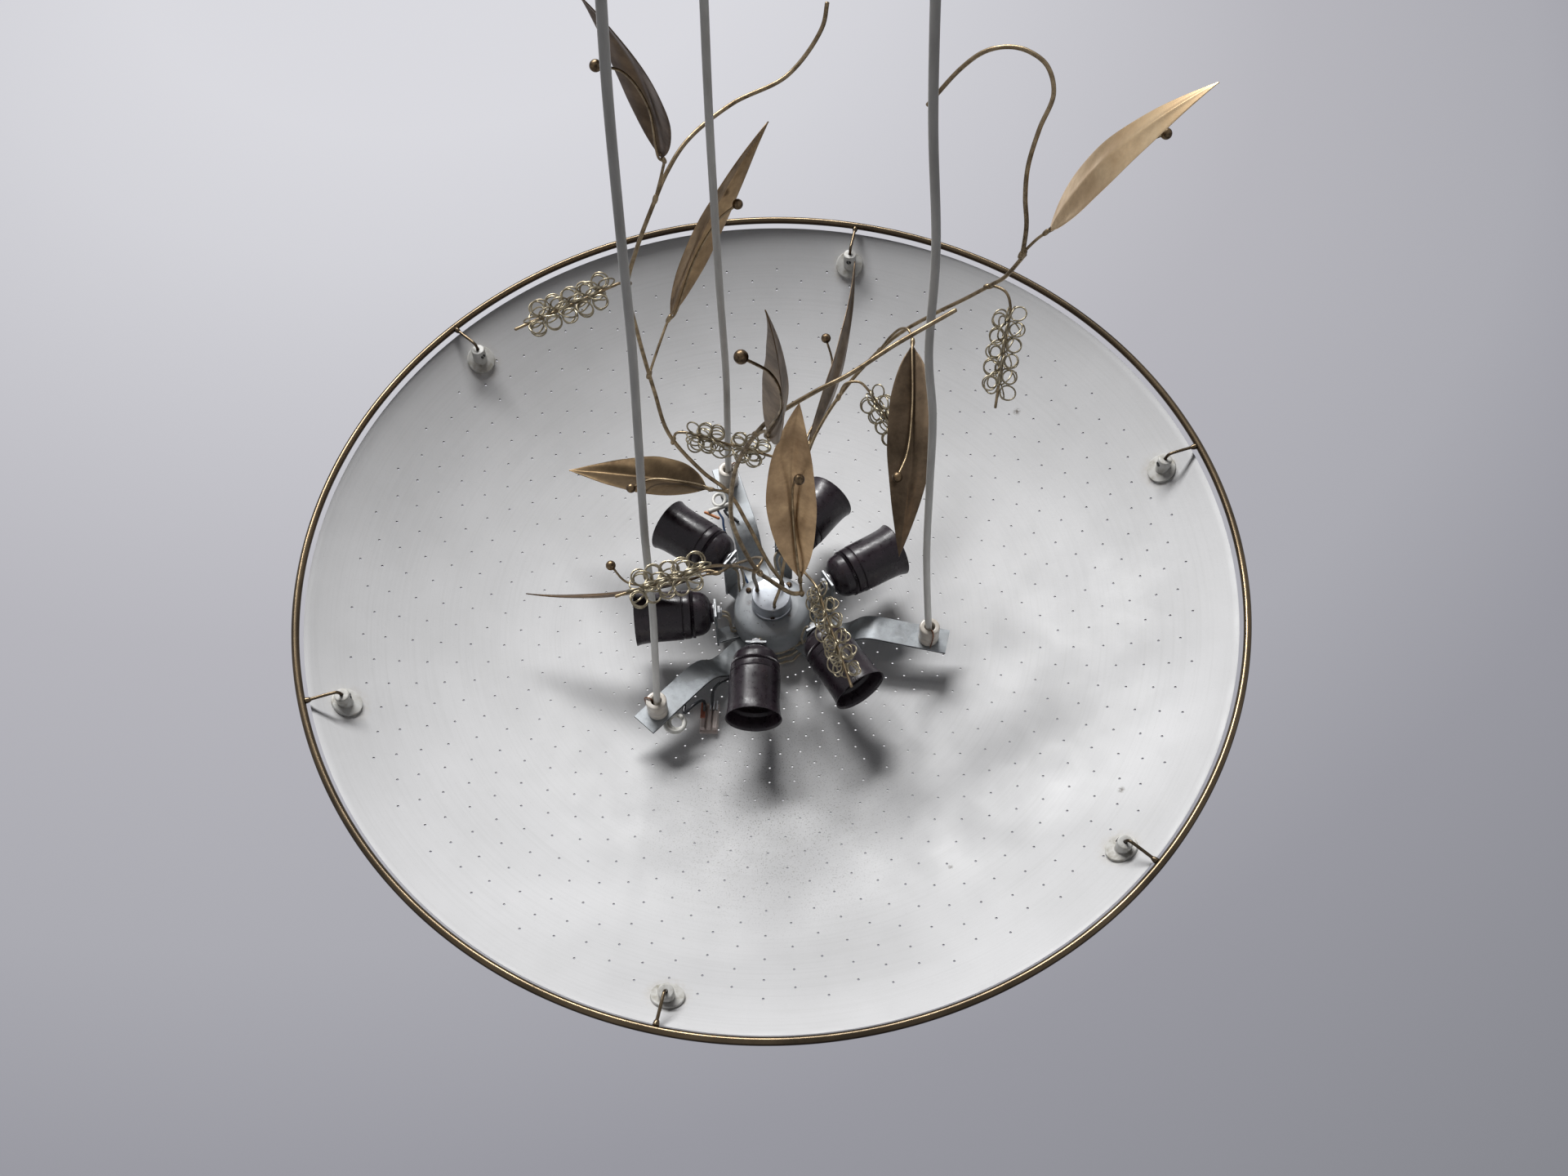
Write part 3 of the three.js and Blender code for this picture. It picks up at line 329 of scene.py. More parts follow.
def lathe(outline, sides, at=(0, 0, 0), along=(0, 0, 1), ripple=None):
    """Turns an outline of (radius, distance along the axis) about an axis through a point.
    A ripple adds to the radius by the angle."""
    outline = np.asarray(outline, float)
    turn = np.linspace(0, 2 * np.pi, sides, endpoint=False)
    axis = np.asarray(along, float) / np.linalg.norm(along)
    across = np.cross(axis, [0, 0, 1.0]) if abs(axis[2]) < 0.9 else np.array([1.0, 0, 0])
    across /= np.linalg.norm(across)
    third = np.cross(axis, across)
    radius = outline[:, 0][:, None] + (0 if ripple is None else ripple(turn, outline))
    return (
        np.asarray(at)
        + radius[..., None] * (np.cos(turn)[:, None] * across + np.sin(turn)[:, None] * third)
        + outline[:, 1][:, None, None] * axis
    )


zinc = finish("zinc plate", (0.42, 0.43, 0.44), 0.38, metallic=0.9)
clouded(zinc, 160, (0.3, 0.31, 0.32), (0.5, 0.5, 0.51))
uneven(zinc, 90, 0.45, 0.62)
canopy_paint = finish("canopy paint", (0.7, 0.7, 0.68), 0.4)
dress(canopy_paint, height=cloudy(canopy_paint, 250, detail=3), depth=0.0001, strength=0.4)

for node in ("ceiling_plate", "centre_rod", "rod_nut"):
    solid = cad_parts[node].data
    solid.materials.clear()
    solid.materials.append(zinc)

canopy_outline = fillet(
    [(0.0044, -0.0283), (0.110, -0.0283), (0.110, -0.0003), (0.1085, -0.0003), (0.1085, -0.0268),
     (0.0044, -0.0268), (0.0044, -0.0283)],
    [0, 0.009, 0.0004, 0.0004, 0.0075, 0, 0], count=9,
)
canopy = surface("spun_canopy", lathe(canopy_outline, 128))
fitted(canopy, "frame", "canopy_paint", canopy_paint, "canopy")

nut_outline = fillet(
    [(0, -0.0376), (0.0052, -0.0376), (0.009, -0.0330), (0.009, -0.0286), (0.0043, -0.0286),
     (0.0043, -0.0350), (0, -0.0350)], 0.0015,
)
fitted(surface("domed_nut", lathe(nut_outline, 48)), "frame", "steel", zinc, "canopy_nut")

grip_outline = fillet(
    [(0, -0.0426), (0.0034, -0.0426), (0.0049, -0.0426), (0.007, -0.0370), (0.007, -0.0286),
     (0.0045, -0.0286), (0.0045, -0.0236), (0, -0.0236)], 0.001,
)
for side, azimuth in ARM_AZIMUTHS.items():
    grip = surface("turned_grip_" + side, lathe(grip_outline, 40, at=around(GRIP_CIRCLE, azimuth)))
    fitted(grip, "frame", "steel", zinc, "cord_grip_" + side)

# Arms
# Flat galvanised strip, sheared to length, clamped under the hub, bent up twice and ending
# level under a bushing. The zinc is dull and spangled, and the sheared edges are darker.

STRIP_WIDTH, STRIP_THICK, STRIP_CORNER = 0.022, 0.002, 0.00035


def cut_corners(width, low, high, corner):
    """A rectangle's (aside, up) points, with its four corners taken off."""
    w, c = width / 2, corner
    return np.array([(-w + c, low), (w - c, low), (w, low + c), (w, high - c),
                     (w - c, high), (-w + c, high), (-w, high - c), (-w, low + c)])


def strip(run, azimuth):
    """A flat strip: a thin rectangle carried along a run of (reach, height), drawn in to a
    point at its ends, and turned to its azimuth."""
    run = np.asarray(run, float)
    ahead = np.gradient(run, axis=0)
    ahead /= np.linalg.norm(ahead, axis=1)[:, None]
    up = np.stack([-ahead[:, 1], ahead[:, 0]], 1)
    shrink = np.ones(len(run) + 2)
    shrink[[0, -1]] = 0
    rows = np.concatenate([[0], np.arange(len(run)), [len(run) - 1]])
    run, up = run[rows], up[rows]
    middle = np.array([0, STRIP_THICK / 2])
    section = cut_corners(STRIP_WIDTH, 0, STRIP_THICK, STRIP_CORNER)
    section = middle + (section - middle)[None] * shrink[:, None, None]
    flat = run[:, None] + up[:, None] * section[..., 1:]
    out, aside = around(1, azimuth), around(1, azimuth + 90)
    return flat[..., :1] * out + section[..., :1] * aside + flat[..., 1:] * [0, 0, 1]


galvanised = finish("galvanised strip", (0.3, 0.32, 0.34), 0.5, metallic=0.55)
spangle = cloudy(galvanised, 130, detail=6, roughness=0.7)
spangled = steps(galvanised, spangle, (0.3, (0.19, 0.2, 0.21)), (0.52, (0.31, 0.33, 0.345)),
                 (0.75, (0.43, 0.45, 0.47)))
streak = steps(galvanised, cloudy(galvanised, 30, detail=4, distortion=1.5), (0.45, 0.0), (0.62, 0.8))
dress(
    galvanised, colour=mixed(galvanised, streak, spangled, (0.24, 0.25, 0.255)),
    roughness=steps(galvanised, spangle, (0.3, 0.36), (0.7, 0.62)),
    height=spangle, depth=0.0001, strength=0.5,
)

sheared = finish("sheared edge", (0.07, 0.07, 0.07), 0.55, metallic=0.5)
clouded(sheared, 500, (0.045, 0.042, 0.04), (0.11, 0.11, 0.115))


def second_finish(piece, material, chosen):
    """Gives a second material to the faces that a rule on their middles and normals picks."""
    count = len(piece.data.polygons)
    middles, normals = np.empty(count * 3, np.float32), np.empty(count * 3, np.float32)
    piece.data.polygons.foreach_get("center", middles)
    piece.data.polygons.foreach_get("normal", normals)
    piece.data.materials.append(material)
    share = chosen(middles.reshape(-1, 3), normals.reshape(-1, 3)).astype(np.int32)
    piece.data.polygons.foreach_set("material_index", share)
    return piece


ARM_LOW = RING_PLANE - 0.0885
ARM_REACH, ARM_LIFT = 0.148, 0.025
arm_run = np.array([(0.010, 0), (0.054, 0), (0.064, 0.0045), (0.076, 0.0205), (0.086, ARM_LIFT),
                    (ARM_REACH, ARM_LIFT)])
arm_run = fillet(arm_run + [0, ARM_LOW], 0.010, count=7)
for side, azimuth in ARM_AZIMUTHS.items():
    arm = surface("strip_arm_" + side, strip(arm_run, azimuth), crease=30)
    fitted(arm, "frame", "galvanised", galvanised, "arm_" + side)
    aside = around(1, azimuth + 90)
    second_finish(
        arm, sheared,
        lambda middles, normals: (np.abs(normals @ aside) > 0.9)
        | ((np.hypot(middles[:, 0], middles[:, 1]) > ARM_REACH - 0.0002) & (np.abs(normals[:, 2]) < 0.5)),
    )

# Porcelain bushings
# Glazed cream porcelain with a blind bore for the cord, crazed and grubby, each held on its
# arm by the copper wire that comes through the bore.

porcelain = finish("porcelain glaze", (0.7, 0.65, 0.58), 0.25, coat=0.3)
glaze = steps(porcelain, cloudy(porcelain, 70), (0.35, (0.6, 0.54, 0.46)), (0.65, (0.74, 0.7, 0.64)))
grubby = steps(porcelain, cloudy(porcelain, 240, detail=4), (0.55, 0.0), (0.8, 0.4))
dress(porcelain, colour=mixed(porcelain, grubby, glaze, (0.24, 0.18, 0.13)))
copper = finish("bare copper", (0.5, 0.22, 0.12), 0.35, metallic=1.0)
clouded(copper, 500, (0.14, 0.07, 0.045), (0.32, 0.17, 0.11))

bushing_outline = fillet(
    [(0, 0.0003), (0.0083, 0.0003), (0.0083, 0.0050), (0.0078, 0.0062), (0.0078, 0.0080), (0.0083, 0.0092),
     (0.0083, 0.0193), (0.0043, 0.0193), (0.0043, 0.0073), (0, 0.0073)],
    [0, 0.0006, 0.0006, 0.0006, 0.0006, 0.0006, 0.0020, 0.0008, 0.0005, 0], count=6,
)
TIE_WIRE = [  # out from the bushing's axis, degrees round from the arm, and up from the seat
    (0.0036, -60, 0.0120), (0.0040, -60, 0.0196), (0.0066, -60, 0.0206), (0.0092, -62, 0.0188),
    (0.0096, -66, 0.0090), (0.0094, -70, 0.0008),
]
for side, azimuth in ARM_AZIMUTHS.items():
    seat = around(BUSHING_CIRCLE, azimuth, ARM_LOW + ARM_LIFT + STRIP_THICK)
    bushing = surface("glazed_bushing_" + side, lathe(bushing_outline, 48, at=seat))
    fitted(bushing, "frame", "porcelain", porcelain, "bushing_" + side)
    wire = smooth_path([seat + around(out, azimuth + turned, up) for out, turned, up in TIE_WIRE], 30)
    tie = surface("copper_tie_" + side, round_section(wire, 0.0006, 8))
    fitted(tie, "frame", "dark_brass", copper)

# Bowl
# Spun sheet, enamelled pale grey inside and out, flat in its middle and steeper to the rim,
# with rings of 46 pinholes drilled right through, each ring half a step round from the last.
# Soot and warm stains have settled in it.

BOWL_RADIUS, BOWL_DEPTH, BOWL_WALL = 0.370, 0.090, 0.0012
BOWL_BELOW_RING = 0.0047  # from the ring's middle line down to the bowl's edge
EDGE_EASED = 0.0004  # the edge's upper and lower corners are taken off by this much
ROD_HOLE = 0.0053
PINHOLE_RADIUS = 0.00095
PINHOLES_ROUND = 46
PINHOLE_START = -1.862
PINHOLE_RINGS = [  # radius, and whether the ring is half a step round
    (0.0500, 1), (0.0640, 0), (0.0785, 1), (0.0920, 0), (0.1070, 1), (0.1200, 0), (0.1328, 1), (0.1459, 1),
    (0.1626, 0), (0.1804, 1), (0.1961, 0), (0.2104, 1), (0.2239, 0), (0.2374, 1), (0.2501, 0), (0.2618, 1),
    (0.2730, 0), (0.2839, 1), (0.2940, 0), (0.3045, 1), (0.3139, 0), (0.3225, 1), (0.3296, 0), (0.3386, 1),
]


def bowl_height(radius):
    """The bowl's hollow: it rises with the cube of the radius."""
    return RING_PLANE - BOWL_BELOW_RING - BOWL_DEPTH * (1 - (radius / BOWL_RADIUS) ** 3)


def bowl_slope(radius):
    """How steeply the bowl rises."""
    return 3 * BOWL_DEPTH * radius**2 / BOWL_RADIUS**3


def bowl_point(radius, azimuth, under=False):
    """Points of the bowl's skin; the under side lies a wall lower, square to the slope."""
    radius, azimuth = np.broadcast_arrays(radius, azimuth)
    drop = BOWL_WALL * np.sqrt(1 + bowl_slope(radius)**2) if under else 0
    return np.stack([radius * np.cos(azimuth), radius * np.sin(azimuth), bowl_height(radius) - drop], -1)


def drilled_bowl():
    """The bowl as cells of eight edge points, one cell for each place in the lattice of
    pinholes: a drilled cell joins its edge to a ring of eight points, and a plain one to
    its middle. Plain rows lie inside the first ring and outside the last."""
    rings = np.array([radius for radius, _ in PINHOLE_RINGS])
    odd = np.array([moved for _, moved in PINHOLE_RINGS])
    edges = np.concatenate([[1.5 * rings[0] - 0.5 * rings[1]], (rings[1:] + rings[:-1]) / 2,
                            [1.5 * rings[-1] - 0.5 * rings[-2]]])
    half = np.pi / PINHOLES_ROUND / 2
    column = np.arange(2 * PINHOLES_ROUND)
    low, high = edges[:-1], edges[1:]
    out = np.stack([low, low, low, rings, high, high, high, rings], 1)[:, None, :]
    start = np.radians(PINHOLE_START)
    middle = start + column[None, :, None] * 2 * half
    out, azimuth = np.broadcast_arrays(out, middle + np.array([-1, 0, 1, 1, 1, 0, -1, -1]) * half)
    drilled = ((column[None, :] + odd[:, None]) % 2 == 0)[..., None]
    angle = np.radians([225, 180, 135, 90, 45, 0, 315, 270])
    hole = drilled * PINHOLE_RADIUS
    hole_out = rings[:, None, None] + hole * np.cos(angle)
    hole_azimuth = middle + hole * np.sin(angle) / rings[:, None, None]
    loops = [bowl_point(*loop, under) for under in (False, True)
             for loop in ((out, azimuth), (hole_out, hole_azimuth))]
    points = np.stack(loops).reshape(4, -1, 8, 3)
    index = np.arange(points[..., 0].size).reshape(4, -1, 8)
    bored = np.broadcast_to(drilled, hole_out.shape).reshape(-1, 8)[:, 0]

    def band(a, b):
        return np.stack([a, np.roll(a, -1, 1), np.roll(b, -1, 1), b], -1).reshape(-1, 4)

    quads = [band(index[0], index[1]), band(index[3], index[2]), band(index[1][bored], index[3][bored])]
    count = points[..., 0].size
    all_points = [points.reshape(-1, 3)]
    round_it = start + np.arange(4 * PINHOLES_ROUND) * half - half
    inner = np.array([ROD_HOLE, 0.012, 0.024, 0.036, edges[0]])
    outer = np.concatenate([np.linspace(edges[-1], BOWL_RADIUS - 0.0006, 7), [BOWL_RADIUS]])
    for radii in (inner, outer):
        top, under = (bowl_point(radii[:, None], round_it[None, :], side) for side in (False, True))
        if radii is inner:
            grid = np.concatenate([top[::-1], under])
        else:
            top[-1, :, 2] -= EDGE_EASED
            under[-1, :, 2] += EDGE_EASED
            grid = np.concatenate([top, under[::-1]])
        place = count + np.arange(grid[..., 0].size).reshape(grid.shape[:2])
        quads.append(band(place[:-1], place[1:]))
        all_points.append(grid.reshape(-1, 3))
        count += place.size
    mesh = bpy.data.meshes.new("drilled_bowl")
    mesh.from_pydata(np.concatenate(all_points).tolist(), [], np.concatenate(quads).tolist())
    return finished("drilled_bowl", mesh, 35)


def near(material, point, reach):
    """1 at a point, falling to 0 at a distance from it, both in metres."""
    spread = material.node_tree.nodes.new("ShaderNodeMapRange")
    spread.interpolation_type = "SMOOTHSTEP"
    far = maths(material, "DISTANCE", object_place(material), tuple(point), vector=True)
    for name, value in (("Value", far), ("From Min", reach), ("From Max", 0)):
        supply(material, spread.inputs[name], value)
    return spread.outputs["Result"]


def product(material, a, b):
    """Two shares multiplied."""
    return maths(material, "MULTIPLY", a, b)


def spun_lines(material, rings):
    """Noise that runs round the axis: its coordinates are the direction from the axis and the
    distance from it, so many rings to the metre."""
    nodes, links = material.node_tree.nodes, material.node_tree.links
    level = maths(material, "MULTIPLY", object_place(material), (1, 1, 0), vector=True)
    heading = nodes.new("ShaderNodeSeparateXYZ")
    links.new(maths(material, "NORMALIZE", level, vector=True), heading.inputs["Vector"])
    joined = nodes.new("ShaderNodeCombineXYZ")
    links.new(heading.outputs["X"], joined.inputs["X"])
    links.new(heading.outputs["Y"], joined.inputs["Y"])
    links.new(product(material, maths(material, "LENGTH", level, vector=True), rings), joined.inputs["Z"])
    return noise_on(material, joined.outputs["Vector"], 2.2, detail=4, roughness=0.5)


POST_AZIMUTHS = 77.0 + 60.0 * np.arange(6)
STAIN_CIRCLE, STAIN_REACH = 0.344, 0.021
CHIPS = [  # places from the middle of the ring, and how far each reaches
    (0.2205, 0.1881, -0.0514, 0.0045), (0.2623, -0.1821, -0.0369, 0.004),
    (-0.118, 0.203, -0.074, 0.003), (0.131, -0.231, -0.061, 0.0028),
]
enamel = finish("bowl enamel", (0.62, 0.62, 0.625), 0.5)
coat = steps(enamel, cloudy(enamel, 9, detail=6), (0.3, (0.58, 0.58, 0.585)), (0.7, (0.66, 0.66, 0.668)))
speck = steps(enamel, cloudy(enamel, 900, detail=2, roughness=0.7), (0.59, 0.0), (0.65, 0.9))
soot = product(enamel, speck, near(enamel, (0.0, -0.175, RING_PLANE - 0.08), 0.15))
dust = steps(enamel, cloudy(enamel, 1600, detail=1), (0.72, 0.0), (0.76, 0.5))
turned = steps(enamel, spun_lines(enamel, 260), (0.45, 0.0), (0.8, 0.16))
for share, colour in ((soot, (0.2, 0.19, 0.18)), (dust, (0.3, 0.28, 0.26)), (turned, (0.4, 0.4, 0.39))):
    coat = mixed(enamel, share, coat, colour)
chip = steps(enamel, cloudy(enamel, 700, detail=3), (0.4, 0.0), (0.5, 0.9))
for x, y, z, reach in CHIPS:
    spot = product(enamel, near(enamel, (x, y, RING_PLANE + z), reach), chip)
    coat = mixed(enamel, spot, coat, (0.1, 0.08, 0.06))
ragged = steps(enamel, cloudy(enamel, 220), (0.35, 0.1), (0.65, 0.8))
for azimuth in POST_AZIMUTHS:
    foot = around(STAIN_CIRCLE, azimuth, bowl_height(STAIN_CIRCLE))
    stain = product(enamel, near(enamel, foot, STAIN_REACH), ragged)
    coat = mixed(enamel, stain, coat, (0.4, 0.33, 0.22))
dress(
    enamel, colour=coat,
    roughness=steps(enamel, cloudy(enamel, 25), (0.35, 0.42), (0.65, 0.6)),
    height=cloudy(enamel, 380, detail=3), depth=0.00012, strength=0.35,
)
bowl = fitted(drilled_bowl(), "dish", "bowl_paint", enamel, "bowl")

# The pinholes' walls and the rim's edge: bare cut sheet, made nearly black, which also paints in the shade
# inside the pinholes.
cut_sheet_and_hole_shade = finish("cut sheet", (0.035, 0.03, 0.026), 0.6, metallic=0.3)
uneven(cut_sheet_and_hole_shade, 400, 0.45, 0.75)
second_finish(bowl, cut_sheet_and_hole_shade, lambda middles, normals: np.abs(normals[:, 2]) < 0.45)

# Posts
# Turned posts on thin round feet that lie flush in the bowl's slope, painted with it. Each is
# drilled down its middle for a hook of the ring, which a black slotted grub screw pinches.

POST_CIRCLE = 0.346
post_surface = bowl_height(POST_CIRCLE)
post_top = post_surface + 0.015
post_tilt = np.arctan(bowl_slope(POST_CIRCLE))
post_paint = finish("post paint", (0.5, 0.49, 0.46), 0.45)
grime = cloudy(post_paint, 150, detail=5)
dress(
    post_paint,
    colour=steps(post_paint, grime, (0.3, (0.34, 0.32, 0.27)), (0.5, (0.56, 0.55, 0.52)),
                 (0.72, (0.64, 0.64, 0.62))),
    height=grime, depth=0.0002, strength=0.5,
)
black_screw = finish("black screw", (0.025, 0.025, 0.025), 0.4, metallic=0.5)
uneven(black_screw, 600, 0.3, 0.55)

shank_outline = fillet(
    [(0, -0.0035), (0.0058, -0.0035), (0.0058, 0.0150), (0.00155, 0.0150), (0.00155, 0.0060), (0, 0.0060)],
    [0, 0, 0.0012, 0.0003, 0, 0],
)
foot_outline = fillet([(0, 0.0005), (0.0122, 0.0005), (0.0122, 0.0027), (0.0048, 0.0029), (0, 0.0029)],
                      [0, 0.0002, 0.0008, 0, 0])
screw_outline = fillet([(0, -0.0010), (0.0022, -0.0010), (0.0022, 0.0006), (0, 0.0006)], 0.0003)


def slot_cut(size, depth, at, along, up):
    """A screw's slot: a long box, its length along up, sunk to a depth below its mouth."""
    x = np.asarray(along, float) / np.linalg.norm(along)
    z = np.asarray(up, float) / np.linalg.norm(up)
    y = np.cross(z, x)
    corner = np.array([[-1, -1], [1, -1], [1, 1], [-1, 1]]) * [size[1] / 2, size[0] / 2]
    ring = corner[:, :1] * y + corner[:, 1:] * z
    rows = np.array([-depth, -depth, depth, depth])[:, None, None] * x
    grow = np.array([0, 1, 1, 0])[:, None, None]
    return np.asarray(at) + rows + ring[None] * grow


def carved(piece, *tools):
    """Cuts other pieces out of this one and removes them."""
    for tool in tools:
        cut = piece.modifiers.new("cut", "BOOLEAN")
        cut.operation, cut.object, cut.solver = "DIFFERENCE", tool, "EXACT"
        bpy.context.view_layer.objects.active = piece
        bpy.ops.object.modifier_apply(modifier=cut.name)
        bpy.data.objects.remove(tool)
    piece.data.shade_smooth()
    piece.data.set_sharp_from_angle(angle=np.radians(35))
    return piece


def slotted(screw, body, material, size, depth, at, along, up):
    """Gives a screw its slot, its body and its finish."""
    notch = surface("notch", slot_cut(size, depth, at, along, up))
    return fitted(carved(screw, notch), body, "dark_brass", material)


SLOT = (0.006, 0.0007)
for i, azimuth in enumerate(POST_AZIMUTHS):
    seat = around(POST_CIRCLE, azimuth, post_surface)
    lean = around(-np.sin(post_tilt), azimuth, np.cos(post_tilt))
    post = surface(f"turned_post_{i + 1}", lathe(shank_outline, 40, at=seat),
                   lathe(foot_outline, 48, at=seat, along=lean))
    fitted(post, "dish", "bowl_paint", post_paint, f"post_{i + 1}")
    inward = around(-1, azimuth)
    head = seat + around(0.0056, azimuth + 180, 0.0098)
    screw = surface(f"grub_screw_{i + 1}", lathe(screw_outline, 24, at=head, along=inward))
    slotted(screw, "dish", black_screw, SLOT, 0.0008, head + inward * 0.0009, inward,
            around(0.4, azimuth + 90, 1))

# Ring
# A brass hoop a little wider than the bowl, with six hooks of thinner wire soldered to it that
# drop into the posts. Its brass is rubbed bright in patches, and painted shade darkens its
# underside and sides.

RING_RADIUS, RING_WIRE = 0.375, 0.0031


def patina(name, bright, dark, low=0.42, high=0.62, scale=90, roughness=(0.28, 0.5)):
    """Brass with a dark skin that has been rubbed away in patches."""
    brass = finish(name, bright, 0.35, metallic=1.0)
    skin = cloudy(brass, scale, detail=6, roughness=0.65)
    fine = cloudy(brass, scale * 9, detail=3)
    rubbed = steps(brass, skin, (low, 0.0), (high, 1.0))
    grain = steps(brass, fine, (0.35, 0.0), (0.8, 0.35))
    dress(
        brass, colour=mixed(brass, grain, mixed(brass, rubbed, bright, dark), dark),
        roughness=steps(brass, skin, (0.3, roughness[0]), (0.7, roughness[1])),
        height=fine, depth=0.00008, strength=0.4,
    )
    return brass


hoop_brass = patina("hoop brass", (0.19, 0.142, 0.088), (0.078, 0.06, 0.04), low=0.38, high=0.64, scale=10,
                    roughness=(0.18, 0.3))
# Painted shade: faces that turn down or aside are darkened, by the Z of their normal.
geometry = hoop_brass.node_tree.nodes.new("ShaderNodeNewGeometry")
facing = hoop_brass.node_tree.nodes.new("ShaderNodeSeparateXYZ")
hoop_brass.node_tree.links.new(geometry.outputs["Normal"], facing.inputs["Vector"])
over_skin(hoop_brass, steps(hoop_brass, facing.outputs["Z"], (0.3, 0.93), (0.8, 0.0)), (0.035, 0.022, 0.015))

round_ring = np.linspace(0, 2 * np.pi, 360, endpoint=False)
round_wire = np.linspace(0, 2 * np.pi, 16, endpoint=False)[None, :, None]
outward = np.stack([np.cos(round_ring), np.sin(round_ring), 0 * round_ring], 1)[:, None, :]
wavering = RING_WIRE * (1 + 0.012 * np.sin(9 * round_ring + 1) * np.sin(23 * round_ring))[:, None, None]
hoop = (
    RING_RADIUS * outward + [0, 0, RING_PLANE]
    + wavering * (np.cos(round_wire) * outward + np.sin(round_wire) * [0, 0, 1])
)
solder_outline = fillet([(0, -0.0042), (0.0012, -0.0038), (0.0021, -0.0020), (0.0024, 0), (0.0024, 0.0010),
                         (0, 0.0012)], 0.001)
hooks = []
for azimuth in POST_AZIMUTHS:
    foot = around(POST_CIRCLE, azimuth, post_top)
    hook = smooth_path(
        [foot - [0, 0, 0.0085], foot - [0, 0, 0.002], foot + [0, 0, 0.0012],
         around(0.3482, azimuth, RING_PLANE - 0.0008), around(0.3525, azimuth, RING_PLANE),
         around(0.3640, azimuth, RING_PLANE + 0.0002), around(0.3735, azimuth, RING_PLANE)], 36,
    )
    joint = around(0.3712, azimuth, RING_PLANE)
    hooks += [round_section(hook, 0.00125, 14), lathe(solder_outline, 20, at=joint, along=around(1, azimuth))]
ring = surface("brass_hoop", np.concatenate([hoop, hoop[:1]]), *hooks)
fitted(ring, "rim_ring", "dark_brass", hoop_brass, "ring")

# Hub
# A steel rod with a flanged nut clamps the arms and the star plate under a spun cup. A short
# turned cap with the sprigs' holes screws down on the cup, and a finial closes the bowl below.
# The cup has a satin blue-grey paint with rust at its screws; cap and finial are dull nickel.

CUP_TOP, CUP_TALL = RING_PLANE - 0.0573, 0.027
CAP_TOP = -0.721
CUP_RUST = [  # places, and how far each reaches
    (-0.0190, 0.0138, CUP_TOP, 0.0042), (0.0148, 0.0183, CUP_TOP, 0.0048),
    (0.0006, -0.0160, CAP_TOP - 0.0135, 0.0042), (-0.0180, 0.0020, CUP_TOP, 0.0040),
    (0.0140, -0.0110, CUP_TOP, 0.0036),
]


def flecked(material, dark, light, least, most, fleck):
    """A cloudy tone with small flecks, which start at a value of the noise and reach a share."""
    tone = steps(material, cloudy(material, 55, detail=5), (0.35, dark), (0.65, light))
    spots = steps(material, cloudy(material, 420, detail=3), (least, 0.0), (0.72, most))
    return mixed(material, spots, tone, fleck)


def satin(material, colour, depth, strength):
    """A colour with the hub's own drift of gloss and fine grain."""
    gloss = steps(material, cloudy(material, 120), (0.35, 0.3), (0.65, 0.44))
    return dress(material, colour, gloss, cloudy(material, 600, detail=3), depth, strength)


cup_paint = finish("cup paint", (0.34, 0.36, 0.38), 0.38)
tone = flecked(cup_paint, (0.3, 0.32, 0.34), (0.4, 0.42, 0.44), 0.66, 0.8, (0.11, 0.095, 0.085))
rust = steps(cup_paint, cloudy(cup_paint, 500, detail=4), (0.35, 0.1), (0.65, 0.9))
for *place, reach in CUP_RUST:
    tone = mixed(cup_paint, product(cup_paint, near(cup_paint, place, reach), rust), tone, (0.1, 0.05, 0.032))
satin(cup_paint, tone, 0.00006, 0.35)

cap_metal = finish("cap metal", (0.4, 0.42, 0.45), 0.36, metallic=0.75)
tone = flecked(cap_metal, (0.33, 0.35, 0.38), (0.45, 0.47, 0.51), 0.68, 0.9, (0.13, 0.11, 0.1))
rust = steps(cap_metal, cloudy(cap_metal, 500, detail=4), (0.35, 0.35), (0.65, 1.0))
rust = product(cap_metal, near(cap_metal, (0.0006, -0.0160, CAP_TOP - 0.0125), 0.0036), rust)
satin(cap_metal, mixed(cap_metal, rust, tone, (0.12, 0.05, 0.03)), 0.00005, 0.3)

CUP_BOTTOM = CUP_TOP - CUP_TALL
cup_outline = np.array([
    (0.0301, 0), (0.0315, 0), (0.0315, 0.0170), (0.0314, 0.0195), (0.0309, 0.0222), (0.0295, 0.0244),
    (0.0273, 0.0259), (0.0245, 0.0267), (0.0222, 0.0270), (0.0214, 0.0270), (0.0170, 0.0270),
    (0.0053, 0.0270), (0.0053, 0.0255), (0.0215, 0.0255), (0.0240, 0.0252), (0.0264, 0.0245),
    (0.0283, 0.0233), (0.0295, 0.0214), (0.0300, 0.0190), (0.0301, 0),
])
cup = surface("spun_cup", lathe(fillet(cup_outline, 0.0012, count=4), 96, at=(0, 0, CUP_BOTTOM)))
fitted(cup, "frame", "hub_paint", cup_paint, "hub_cup")

CAP_BOTTOM = CUP_TOP + 0.0003
cap_outline = fillet(
    [(0, 0), (0.0165, 0), (0.0165, 0.0026), (0.0157, 0.0031), (0.0157, 0.0160), (0, 0.0160)],
    [0, 0.0003, 0.0006, 0.0003, 0.0006, 0], count=6,
)
cap = surface("turned_cap", lathe(cap_outline, 96, at=(0, 0, CAP_BOTTOM)))
STEM_CIRCLE = 0.0122
STEM_HOLES = {"a": (41, 0.0016), "b": (161, 0.0016), "c": (281, 0.0013)}  # azimuth and stem's radius
drills = []
for azimuth, radius in STEM_HOLES.values():
    drill = [(0, -0.010), (radius + 0.0003, -0.010), (radius + 0.0003, 0.002), (0, 0.002)]
    drills.append(surface("drill", lathe(drill, 24, at=around(STEM_CIRCLE, azimuth, CAP_TOP))))
fitted(carved(cap, *drills), "frame", "hub_paint", cap_metal, "hub_cap")

